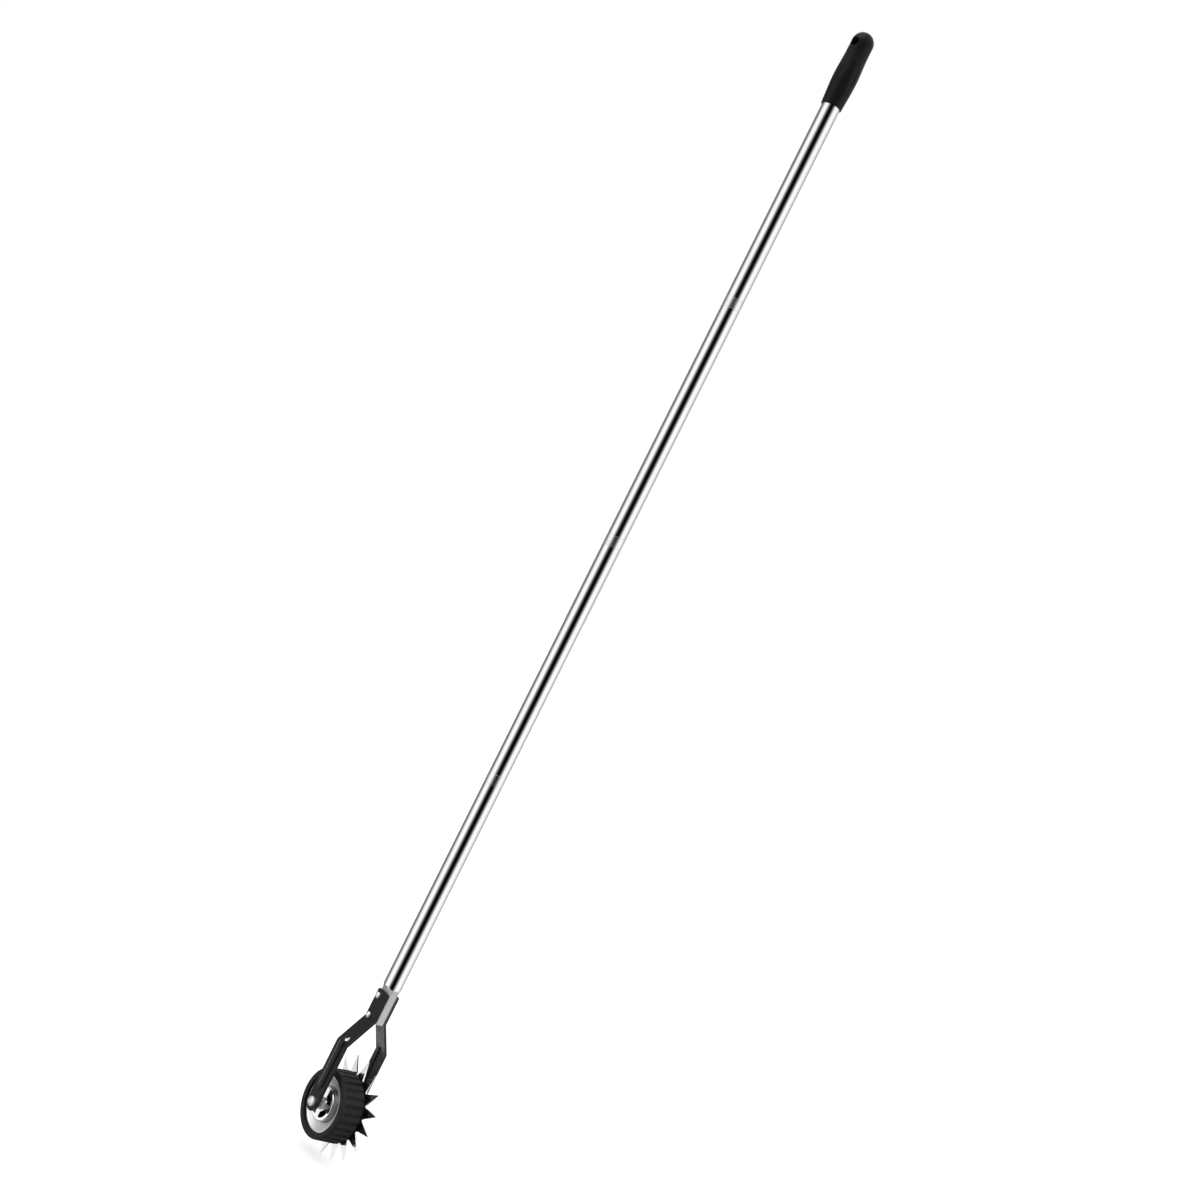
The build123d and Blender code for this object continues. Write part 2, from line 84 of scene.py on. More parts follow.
class Body(Enum):
    """The moving bodies of the tool."""

    HANDLE = "handle"
    WHEEL = "wheel"


class Slot(Enum):
    """The material slots that the finishes belong to."""

    GRIP = "grip_plastic"
    TUBE = "tube_steel"
    COLLAR = "collar_steel"
    PAINT = "black_paint"
    ZINC = "bright_zinc"
    RIM = "rim_chrome"
    BUSH = "bush_plastic"
    TYRE = "tyre_rubber"
    STAR = "star_steel"


class Cut(Enum):
    """How one solid is cut by another."""

    KEEP_COMMON = "INTERSECT"
    TAKE_AWAY = "DIFFERENCE"


class Span:
    """A CAD node's box, in millimetres."""

    def __init__(self, node: str) -> None:
        """Reads the box.

        Args:
            node: The node's name.
        """
        low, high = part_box(node)
        self.low = Vector(low) / MM
        self.high = Vector(high) / MM
        self.size = self.high - self.low
        self.middle = (self.low + self.high) / 2.0


def opaque(color: Iterable[float]) -> Rgba:
    """A colour with full opacity."""
    return (*color, 1.0)


def gray(level: float) -> Rgba:
    """A neutral colour of one level."""
    return (level, level, level, 1.0)


WHITE = gray(1.0)
BLACK = gray(0.0)


class NodeSheet:
    """Adds and links the nodes of one shader tree."""

    def __init__(self, tree: Tree) -> None:
        """Keeps the tree to work on."""
        self.tree = tree

    def add(self, kind: str, **settings: object) -> Node:
        """Adds one node.

        Args:
            kind: The node's type, without its ShaderNode prefix.
            settings: Properties to set on the node.

        Returns:
            The new node.
        """
        node = self.tree.nodes.new("ShaderNode" + kind)
        for name, value in settings.items():
            setattr(node, name, value)
        return node

    def feed(self, socket: Socket, source: object) -> None:
        """Links a socket to another one, or sets its value.

        Args:
            socket: The input to feed.
            source: An output socket, or a plain value.
        """
        if isinstance(source, Socket):
            self.tree.links.new(source, socket)
        else:
            socket.default_value = source

    def math(self, operation: str, first: object, *others: object, clamp: bool = False) -> Socket:
        """Adds a Math node, or a chain of them for more than two inputs.

        Args:
            operation: The operation's name.
            first: The first input.
            others: The inputs that follow.
            clamp: Whether the result is kept between 0 and 1.

        Returns:
            The result.
        """
        result = first
        for other in others or (0.0,):
            node = self.add("Math", operation=operation, use_clamp=clamp)
            self.feed(node.inputs[0], result)
            self.feed(node.inputs[1], other)
            result = node.outputs[0]
        return result

    def past(self, length: Socket, limit: float) -> Socket:
        """1 where a length is past a limit, which is in millimetres."""
        return self.math("GREATER_THAN", length, limit * MM)

    def short(self, length: Socket, limit: float) -> Socket:
        """1 where a length is short of a limit, which is in millimetres."""
        return self.math("LESS_THAN", length, limit * MM)

    def vector_math(self, operation: str, first: object, second: object = (0.0, 0.0, 0.0)) -> Node:
        """Adds a Vector Math node.

        Args:
            operation: The operation's name.
            first: Its first vector.
            second: Its second vector.

        Returns:
            The node.
        """
        node = self.add("VectorMath", operation=operation)
        self.feed(node.inputs[0], first)
        self.feed(node.inputs[1], second)
        return node

    def dot(self, first: object, second: object) -> Socket:
        """The dot product of two vectors."""
        return self.vector_math("DOT_PRODUCT", first, second).outputs["Value"]

    def split(self, vector: Socket) -> list[Socket]:
        """Splits a vector.

        Args:
            vector: The vector.

        Returns:
            Its X, Y and Z.
        """
        node = self.add("SeparateXYZ")
        self.feed(node.inputs[0], vector)
        return list(node.outputs)

    def span(self, value: object, start: float, end: float, low: object = 0.0, high: object = 1.0) -> Socket:
        """Maps a value from one range to another, with soft ends.

        Args:
            value: The value to map.
            start: The start of its range.
            end: The end of its range.
            low: The result at the start.
            high: The result at the end.

        Returns:
            The mapped value.
        """
        node = self.add("MapRange", interpolation_type="SMOOTHSTEP")
        for index, source in enumerate((value, start, end, low, high)):
            self.feed(node.inputs[index], source)
        return node.outputs[0]

    def fall(self, value: object, start: float, end: float) -> Socket:
        """Maps a value to 1 before a range and to 0 after it."""
        return self.span(value, start, end, 1.0, 0.0)

    def between(self, share: object, low: object, high: object) -> Socket:
        """Maps a share of 0 to 1 to a range."""
        return self.span(share, 0.0, 1.0, low, high)

    def mix(self, factor: object, first: object, second: object) -> Socket:
        """Mixes two colours.

        Args:
            factor: The share of the second colour.
            first: The first colour.
            second: The second colour.

        Returns:
            The mixed colour.
        """
        node = self.add("Mix", data_type="RGBA")
        self.feed(node.inputs["Factor"], factor)
        self.feed(node.inputs[6], first)
        self.feed(node.inputs[7], second)
        return node.outputs[2]

    def noise(self, vector: Socket, scale: object, detail: float) -> Socket:
        """Adds a noise texture.

        Args:
            vector: The place it is read at.
            scale: How many cells there are in a metre.
            detail: How many finer layers it has.

        Returns:
            The noise, about 0.5 on average.
        """
        node = self.add("TexNoise")
        self.feed(node.inputs["Vector"], vector)
        self.feed(node.inputs["Scale"], scale)
        node.inputs["Detail"].default_value = detail
        return node.outputs["Fac"]

    def group(self, tree: Tree, **values: object) -> Node:
        """Places a node group.

        Args:
            tree: The group's tree.
            values: What its inputs take, by name.

        Returns:
            The group node.
        """
        node = self.add("Group", node_tree=tree)
        for name, source in values.items():
            self.feed(node.inputs[name], source)
        return node


class Effects:
    """The surface effects that several finishes share, each one a node group."""

    VECTORS = ("Vector", "Centre", "Normal")
    CONTRAST: Range = (0.35, 0.65)
    CLOUD_CONTRAST: Range = (0.3, 0.7)
    CLOUD_DETAIL = 4.0
    LINE_DETAIL = 3.0
    ACROSS_AXLE = (1.0, 0.0, 1.0)
    BROAD_SHARE = 0.31
    CELL_SHARE = 0.6
    EDGE_SAMPLES = 6
    EDGE_GAIN = 14.0

    def __init__(self) -> None:
        """Builds the groups."""
        self.drift = self._drift()
        self.lines = self._lines()
        self.rings = self._rings()
        self.grain = self._grain()
        self.edges = self._edges()

    def _blank(self, name: str, inputs: str, outputs: str) -> tuple[NodeSheet, object, object]:
        """Makes an empty group.

        Args:
            name: The group's name.
            inputs: Its inputs' names, with a space between them.
            outputs: Its outputs' names, with a space between them.

        Returns:
            The sheet to draw on, what the inputs give and what the outputs take.
        """
        tree = bpy.data.node_groups.new(name, "ShaderNodeTree")
        for direction, labels in (("INPUT", inputs), ("OUTPUT", outputs)):
            for label in labels.split():
                kind = "NodeSocketVector" if label in self.VECTORS else "NodeSocketFloat"
                tree.interface.new_socket(label, in_out=direction, socket_type=kind)
        start = tree.nodes.new("NodeGroupInput")
        end = tree.nodes.new("NodeGroupOutput")
        return NodeSheet(tree), start.outputs, end.inputs

    def _drift(self) -> Tree:
        """Slow uneven tone.

        Returns:
            The group, which puts out Value between Low and High.
        """
        sheet, given, out = self._blank("slow_drift", "Vector Scale Low High", "Value")
        cloud = sheet.noise(given["Vector"], given["Scale"], self.CLOUD_DETAIL)
        tone = sheet.span(cloud, *self.CLOUD_CONTRAST, given["Low"], given["High"])
        sheet.feed(out["Value"], tone)
        return sheet.tree

    def _lines(self) -> Tree:
        """Fine lines drawn along Z.

        Returns:
            The group, which puts out Tone and Height.
        """
        sheet, given, out = self._blank("drawn_lines", "Vector Fineness Stretch", "Tone Height")
        across, depth, rise = sheet.split(given["Vector"])
        joined = sheet.add("CombineXYZ")
        sheet.feed(joined.inputs[0], across)
        sheet.feed(joined.inputs[1], depth)
        sheet.feed(joined.inputs[2], sheet.math("MULTIPLY", rise, given["Stretch"]))
        streaks = sheet.noise(joined.outputs[0], given["Fineness"], self.LINE_DETAIL)
        sheet.feed(out["Tone"], sheet.span(streaks, *self.CONTRAST))
        sheet.feed(out["Height"], streaks)
        return sheet.tree

    def _rings(self) -> Tree:
        """Fine rings left by turning or grinding round the axle.

        Returns:
            The group, which puts out Tone, Height and the Radius from the axle.
        """
        sheet, given, out = self._blank("ground_rings", "Vector Fineness Centre", "Tone Height Radius")
        offset = sheet.vector_math("SUBTRACT", given["Vector"], given["Centre"])
        flat = sheet.vector_math("MULTIPLY", offset.outputs[0], self.ACROSS_AXLE)
        radius = sheet.vector_math("LENGTH", flat.outputs[0]).outputs["Value"]
        ring = sheet.add("TexNoise", noise_dimensions="1D")
        sheet.feed(ring.inputs["W"], radius)
        sheet.feed(ring.inputs["Scale"], given["Fineness"])
        sheet.feed(ring.inputs["Detail"], self.LINE_DETAIL)
        sheet.feed(out["Tone"], sheet.span(ring.outputs["Fac"], *self.CONTRAST))
        sheet.feed(out["Height"], ring.outputs["Fac"])
        sheet.feed(out["Radius"], radius)
        return sheet.tree

    def _grain(self) -> Tree:
        """Pebbled skin of moulded plastic, rubber and sprayed paint.

        Returns:
            The group, which puts out Tone and Height.
        """
        sheet, given, out = self._blank("pebbled_skin", "Vector Fineness", "Tone Height")
        cells = sheet.add("TexVoronoi", feature="SMOOTH_F1")
        sheet.feed(cells.inputs["Vector"], given["Vector"])
        sheet.feed(cells.inputs["Scale"], given["Fineness"])
        coarse = sheet.math("MULTIPLY", given["Fineness"], self.BROAD_SHARE)
        broad = sheet.noise(given["Vector"], coarse, self.LINE_DETAIL)
        pebbles = sheet.math("MULTIPLY", cells.outputs["Distance"], self.CELL_SHARE)
        sheet.feed(out["Height"], sheet.math("ADD", pebbles, broad))
        sheet.feed(out["Tone"], sheet.span(broad, *self.CONTRAST))
        return sheet.tree

    def _edges(self) -> Tree:
        """Softened edges, and a mask of where they are rubbed.

        Returns:
            The group, which puts out Normal and Mask.
        """
        sheet, given, out = self._blank("rubbed_edges", "Vector Radius Breakup Start", "Normal Mask")
        soft = sheet.add("Bevel", samples=self.EDGE_SAMPLES)
        sheet.feed(soft.inputs["Radius"], given["Radius"])
        close = sheet.dot(soft.outputs[0], sheet.add("NewGeometry").outputs["Normal"])
        rough = sheet.noise(given["Vector"], given["Breakup"], self.CLOUD_DETAIL)
        rubbed = sheet.math("MULTIPLY", sheet.math("SUBTRACT", 1.0, close), rough)
        edge = sheet.math("SUBTRACT", rubbed, given["Start"])
        sheet.feed(out["Mask"], sheet.math("MULTIPLY", edge, self.EDGE_GAIN, clamp=True))
        sheet.feed(out["Normal"], soft.outputs[0])
        return sheet.tree


@dataclass
class Canvas:
    """What a finish is wired on.

    Attributes:
        sheet: The material's sheet.
        shader: The material's shader.
        place: The object coordinates.
        effects: The shared effects.
    """

    sheet: NodeSheet
    shader: Node
    place: Socket
    effects: Effects

    def effect(self, tree: Tree, **values: object) -> Node:
        """Places a shared effect that is read at the place on the piece."""
        return self.sheet.group(tree, Vector=self.place, **values)

    def rings(self, fineness: float) -> Node:
        """Places the rings round the axle."""
        return self.effect(self.effects.rings, Fineness=fineness, Centre=AXLE_CENTRE)

    def facing(self, direction: Place) -> Socket:
        """How squarely the surface faces a direction, 1 at most."""
        return self.sheet.dot(self.sheet.add("NewGeometry").outputs["Normal"], direction)

    def paint(self, **sources: object) -> None:
        """Feeds the shader's sockets, which are named with _ for a space."""
        for name, source in sources.items():
            self.sheet.feed(self.shader.inputs[name.replace("_", " ")], source)


def blank_material(name: str) -> tuple[bpy.types.Material, NodeSheet, Node]:
    """Makes a material with a bare shader.

    Args:
        name: The material's name.

    Returns:
        The material, its sheet and its shader.
    """
    material = bpy.data.materials.new(name)
    material.use_nodes = True
    material.node_tree.nodes.clear()
    sheet = NodeSheet(material.node_tree)
    shader = sheet.add("BsdfPrincipled")
    sheet.feed(sheet.add("OutputMaterial").inputs["Surface"], shader.outputs[0])
    return material, sheet, shader


@dataclass(frozen=True)
class Finish:
    """A surface finish; the kinds of finish below add what varies over the surface.

    Attributes:
        name: The material's name.
        slot: The slot it belongs to.
        color: Its colour.
        roughness: Its roughness.
        metallic: 1 for bare metal and 0 for the rest.
        specular: The shader's specular level.
        swing: How far the roughness goes down and up.
        cloud_cells: The cells of the colour's slow drift, in a metre.
        cloud_share: How far the colour drifts either way.
        depth: What a height of 1 measures in its relief, in millimetres.
        edge_radius: The radius of its softened edges, in millimetres.
        edge_breakup: The cells that break up its rubbed edges, in a metre.
        edge_start: How sharp an edge is where the rubbing starts.
    """

    name: str
    slot: Slot
    color: Color
    roughness: float
    metallic: float = 0.0
    specular: float = 0.5
    swing: Range = (0.05, 0.07)
    cloud_cells: float = 60.0
    cloud_share: float = 0.05
    depth: float = 0.004
    edge_radius: float = 0.2
    edge_breakup: float = 900.0
    edge_start: float = 0.9

    def make(self, effects: Effects) -> bpy.types.Material:
        """Makes the material.

        Args:
            effects: The shared effects.

        Returns:
            The material.
        """
        material, sheet, shader = blank_material(self.name)
        canvas = Canvas(sheet, shader, sheet.add("TexCoord").outputs["Object"], effects)
        canvas.paint(Base_Color=opaque(self.color), Roughness=self.roughness)
        canvas.paint(Metallic=self.metallic, Specular_IOR_Level=self.specular)
        self.wire(canvas)
        return material

    def wire(self, canvas: Canvas) -> None:
        """Adds what varies over the surface."""

    def shade(self, canvas: Canvas) -> Socket:
        """The finish's colour with a slow drift in it.

        Args:
            canvas: What the finish is wired on.

        Returns:
            The colour.
        """
        cloud = canvas.effect(canvas.effects.drift, Scale=self.cloud_cells, Low=0.0, High=1.0)
        dark = opaque(part * (1.0 - self.cloud_share) for part in self.color)
        pale = opaque(min(part * (1.0 + self.cloud_share), 1.0) for part in self.color)
        return canvas.sheet.mix(cloud.outputs["Value"], dark, pale)

    def gloss(self, canvas: Canvas, tone: Socket) -> Socket:
        """The roughness, which swings with a tone of 0 to 1."""
        down, up = self.swing
        return canvas.sheet.between(tone, self.roughness - down, self.roughness + up)

    def edges(self, canvas: Canvas) -> Node:
        """Places the softened edges.

        Args:
            canvas: What the finish is wired on.

        Returns:
            The group node, with a Normal and a Mask.
        """
        return canvas.effect(
            canvas.effects.edges,
            Radius=self.edge_radius * MM,
            Breakup=self.edge_breakup,
            Start=self.edge_start,
        )

    def bump(self, canvas: Canvas, height: Socket, normal: Socket | None = None) -> Socket:
        """Turns a height into a normal.

        Args:
            canvas: What the finish is wired on.
            height: The height, 0 to 1.
            normal: The normal to start from, if it isn't the surface's own.

        Returns:
            The normal.
        """
        node = canvas.sheet.add("Bump")
        node.inputs["Strength"].default_value = 1.0
        node.inputs["Distance"].default_value = self.depth * MM
        canvas.sheet.feed(node.inputs["Height"], height)
        if normal is not None:
            canvas.sheet.feed(node.inputs["Normal"], normal)
        return node.outputs[0]


@dataclass(frozen=True)
class DrawnSteel(Finish):
    """Polished tube with faint lines along its length.

    Attributes:
        line_fineness: The lines across a metre.
        line_stretch: How much shorter they would be if they weren't drawn out.
        line_roughness: What the lines and the haze each add to the roughness.
        haze_cells: The cells of the haze, in a metre.
        dull_below: The height below which the pressed end is dull, in millimetres.
        dull_soft: How far the dull end fades either way.
        dull: The dull end's colour.
        dull_roughness: The dull end's roughness.
        dull_satin: How far the dull end is from bare metal.
    """

    cloud_cells: float = 18.0
    cloud_share: float = 0.02
    depth: float = 0.0006
    line_fineness: float = 2600.0
    line_stretch: float = 0.004
    line_roughness: float = 0.012
    haze_cells: float = 35.0
    dull_below: float | None = None
    dull_soft: float = 0.9
    dull: Color = (0.575, 0.575, 0.56)
    dull_roughness: float = 0.42
    dull_satin: float = 0.6

    def wire(self, canvas: Canvas) -> None:
        """Adds the drawn lines, a slow drift of gloss, and the dull end that was pressed to shape.

        Args:
            canvas: What the finish is wired on.
        """
        sheet = canvas.sheet
        effects = canvas.effects
        lines = canvas.effect(effects.lines, Fineness=self.line_fineness, Stretch=self.line_stretch)
        haze = canvas.effect(effects.drift, Scale=self.haze_cells, Low=0.0, High=self.line_roughness)
        streak = sheet.math("MULTIPLY", lines.outputs["Tone"], self.line_roughness)
        gloss = sheet.math("ADD", streak, haze.outputs["Value"], self.roughness)
        color = self.shade(canvas)
        if self.dull_below is not None:
            rise = sheet.split(canvas.place)[2]
            limits = [(self.dull_below + soft) * MM for soft in (-self.dull_soft, self.dull_soft)]
            dull = sheet.fall(rise, *limits)
            gloss = sheet.math("MAXIMUM", gloss, sheet.math("MULTIPLY", dull, self.dull_roughness))
            color = sheet.mix(dull, color, opaque(self.dull))
            satin = sheet.math("MULTIPLY", dull, self.dull_satin)
            canvas.paint(Metallic=sheet.math("SUBTRACT", self.metallic, satin))
        canvas.paint(Base_Color=color, Roughness=gloss, Normal=self.bump(canvas, lines.outputs["Height"]))


@dataclass(frozen=True)
class TurnedSteel(Finish):
    """Satin steel turned round Z, with its tool marks.

    Attributes:
        mark_fineness: The marks' cells across a metre.
        mark_stretch: How much closer they are along Z.
    """

    swing: Range = (0.02, 0.02)
    depth: float = 0.0003
    mark_fineness: float = 40.0
    mark_stretch: float = 110.0

    def wire(self, canvas: Canvas) -> None:
        """Adds the tool marks.

        Args:
            canvas: What the finish is wired on.
        """
        lines = canvas.effects.lines
        marks = canvas.effect(lines, Fineness=self.mark_fineness, Stretch=self.mark_stretch)
        gloss = self.gloss(canvas, marks.outputs["Tone"])
        normal = self.bump(canvas, marks.outputs["Height"])
        canvas.paint(Base_Color=self.shade(canvas), Roughness=gloss, Normal=normal)


@dataclass(frozen=True)
class SprayedPaint(Finish):
    """Black paint on steel, rubbed bare on its edges, with a painted glint and a painted highlight line on
    the rib, and a lighter grey side.

    Lengths are in millimetres, and a rise is a height above the axle.

    Attributes:
        peel_fineness: The cells of its orange peel, in a metre.
        bare: The steel's colour on rubbed edges.
        outer: How squarely a surface faces the bolt heads where it takes the painted glint and the painted
            highlight line.
        glint_centre: The middle of the painted glint, a near-white spot of painted highlight, if there is
            one.
        glint_half: The spot's half length and half width.
        glint_lean: How far its length leans up from X, in degrees.
        glint_edge: Where it fades, in half lengths and half widths squared.
        glint_cells: The cells that break up its edge, in a metre.
        glint_breakup: How far they do.
        glint: The painted glint's near-white colour.
        glint_roughness: Its roughness.
        glint_metal: How metallic it is.
        sheen_line_at: Where the line of painted highlight along the rib's shoulder lies on X, if there is
            one.
        sheen_line_half: The line's half width.
        sheen_line_core: The share of it that is worn evenly.
        sheen_line_rises: Where it starts and ends.
        sheen_line_fade: How far it fades at each end.
        sheen_line: Its colour, a paler paint that stands in for the shoulder's highlight.
        lighter_side_on: Whether the paint is a lighter grey where it faces the bolt heads high on the arm.
        lighter_side_facing: How squarely it faces them there.
        lighter_side_rises: The rises over which it turns lighter.
        lighter_side_speckle: How far the peel shows in it.
        lighter_side_color: Its colour.
    """

    cloud_cells: float = 90.0
    cloud_share: float = 0.12
    depth: float = 0.02
    edge_radius: float = 0.5
    edge_breakup: float = 420.0
    edge_start: float = 0.16
    peel_fineness: float = 750.0
    bare: Color = (0.46, 0.46, 0.47)
    outer: Range = (0.1, 0.3)
    glint_centre: Place | None = None
    glint_half: Range = (2.3, 1.0)
    glint_lean: float = 115.0
    glint_edge: Range = (1.05, 1.3)
    glint_cells: float = 700.0
    glint_breakup: float = 0.2
    glint: Color = (0.95, 0.95, 0.95)
    glint_roughness: float = 0.42
    glint_metal: float = 0.25
    sheen_line_at: float | None = None
    sheen_line_half: float = 2.6
    sheen_line_core: float = 0.2
    sheen_line_rises: Range = (14.0, 79.0)
    sheen_line_fade: float = 6.0
    sheen_line: Color = (0.075, 0.075, 0.0775)
    lighter_side_on: bool = False
    lighter_side_facing: Range = (0.5, 0.75)
    lighter_side_rises: Range = (68.0, 84.0)
    lighter_side_speckle: float = 0.25
    lighter_side_color: Color = (0.27, 0.27, 0.275)

    def wire(self, canvas: Canvas) -> None:
        """Adds the orange peel, the rubbed edges, the painted glint on the rib's top end, the painted
        highlight line along the rib's shoulder and the lighter grey side.

        Args:
            canvas: What the finish is wired on.
        """
        sheet = canvas.sheet
        skin = canvas.effect(canvas.effects.grain, Fineness=self.peel_fineness)
        edge = self.edges(canvas)
        bare = metallic = edge.outputs["Mask"]
        metal: object = opaque(self.bare)
        gloss = self.gloss(canvas, skin.outputs["Tone"])
        # Painted highlight: a near-white, partly metallic glint spot on the rib's top end, laid over the
        # paint.
        if self.glint_centre is not None:
            rubbed = self._painted_glint(canvas)
            metal = sheet.mix(rubbed, metal, opaque(self.glint))
            gloss = sheet.between(rubbed, gloss, self.glint_roughness)
            metallic = sheet.math("MAXIMUM", bare, sheet.math("MULTIPLY", rubbed, self.glint_metal))
            # From here this mask holds the rubbed edges and the painted glint.
            bare = sheet.math("MAXIMUM", bare, rubbed)
        coat = self.shade(canvas)
        # Painted highlight: a paler line of paint along the rib's shoulder.
        if self.sheen_line_at is not None:
            coat = sheet.mix(self._painted_sheen_line(canvas), coat, opaque(self.sheen_line))
        # Faces towards the bolt heads high on the arm take a lighter grey paint colour.
        if self.lighter_side_on:
            coat = sheet.mix(self._lighter_side_mask(canvas, skin.outputs["Tone"]), coat, opaque(self.lighter_side_color))
        normal = self.bump(canvas, skin.outputs["Height"], edge.outputs["Normal"])
        color = sheet.mix(bare, coat, metal)
        canvas.paint(Base_Color=color, Metallic=metallic, Roughness=gloss, Normal=normal)

    @staticmethod
    def _heights(rises: Range) -> list[float]:
        """Rises above the axle as heights in metres."""
        return [(AXLE_Z + rise) * MM for rise in rises]

    def _outside(self, canvas: Canvas) -> Socket:
        """1 on the arm's face towards the bolt heads and 0 on the others."""
        return canvas.sheet.span(canvas.facing(BOLT_SIDE), *self.outer)

    def _painted_glint(self, canvas: Canvas) -> Socket:
        """The leaning spot of painted glint on the rib's top end, a painted highlight.

        Args:
            canvas: What the finish is wired on.

        Returns:
            1 in the spot and 0 outside it.
        """
        sheet = canvas.sheet
        centre = [part * MM for part in self.glint_centre]
        offset = sheet.vector_math("SUBTRACT", canvas.place, centre).outputs[0]
        lean = Vector((math.cos(math.radians(self.glint_lean)), 0.0, math.sin(math.radians(self.glint_lean))))
        breakup = sheet.noise(canvas.place, self.glint_cells, Effects.LINE_DETAIL)
        total = sheet.math("MULTIPLY", breakup, self.glint_breakup)
        for half, axis in zip(self.glint_half, (lean, Vector((-lean.z, 0.0, lean.x)))):
            share = sheet.dot(offset, axis / (half * MM))
            total = sheet.math("ADD", total, sheet.math("MULTIPLY", share, share))
        return sheet.math("MULTIPLY", sheet.fall(total, *self.glint_edge), self._outside(canvas))

    def _painted_sheen_line(self, canvas: Canvas) -> Socket:
        """The line of painted highlight along the rib's shoulder, in a paler paint.

        Args:
            canvas: What the finish is wired on.

        Returns:
            1 on the line and 0 off it.
        """
        sheet = canvas.sheet
        across, _, rise = sheet.split(canvas.place)
        off = sheet.math("ABSOLUTE", sheet.math("SUBTRACT", across, self.sheen_line_at * MM))
        line = sheet.fall(off, self.sheen_line_core * self.sheen_line_half * MM, self.sheen_line_half * MM)
        low, high = self._heights(self.sheen_line_rises)
        fade = self.sheen_line_fade * MM
        ends = (sheet.span(rise, low, low + fade), sheet.fall(rise, high - fade, high))
        return sheet.math("MULTIPLY", line, *ends, self._outside(canvas))

    def _lighter_side_mask(self, canvas: Canvas, tone: Socket) -> Socket:
        """The faces towards the bolt heads, high on the arm, that are painted a lighter grey.

        Args:
            canvas: What the finish is wired on.
            tone: The peel's tone.

        Returns:
            Up to 1 where the paint is a lighter grey, and 0 elsewhere.
        """
        sheet = canvas.sheet
        side = sheet.span(canvas.facing(BOLT_SIDE), *self.lighter_side_facing)
        speckle = sheet.math("MULTIPLY", tone, self.lighter_side_speckle)
        high = sheet.span(sheet.split(canvas.place)[2], *self._heights(self.lighter_side_rises))
        return sheet.math("MULTIPLY", sheet.math("SUBTRACT", side, speckle, clamp=True), high)


@dataclass(frozen=True)
class ZincPlate(Finish):
    """Bright zinc on the fasteners, a little uneven.

    Attributes:
        bloom_fineness: The cells of the plating's bloom, in a metre.
    """

    cloud_cells: float = 260.0
    cloud_share: float = 0.07
    bloom_fineness: float = 1600.0

    def wire(self, canvas: Canvas) -> None:
        """Adds the plating's bloom and the softened edges.

        Args:
            canvas: What the finish is wired on.
        """
        bloom = canvas.effect(canvas.effects.grain, Fineness=self.bloom_fineness)
        gloss = self.gloss(canvas, bloom.outputs["Tone"])
        normal = self.bump(canvas, bloom.outputs["Height"], self.edges(canvas).outputs["Normal"])
        canvas.paint(Base_Color=self.shade(canvas), Roughness=gloss, Normal=normal)


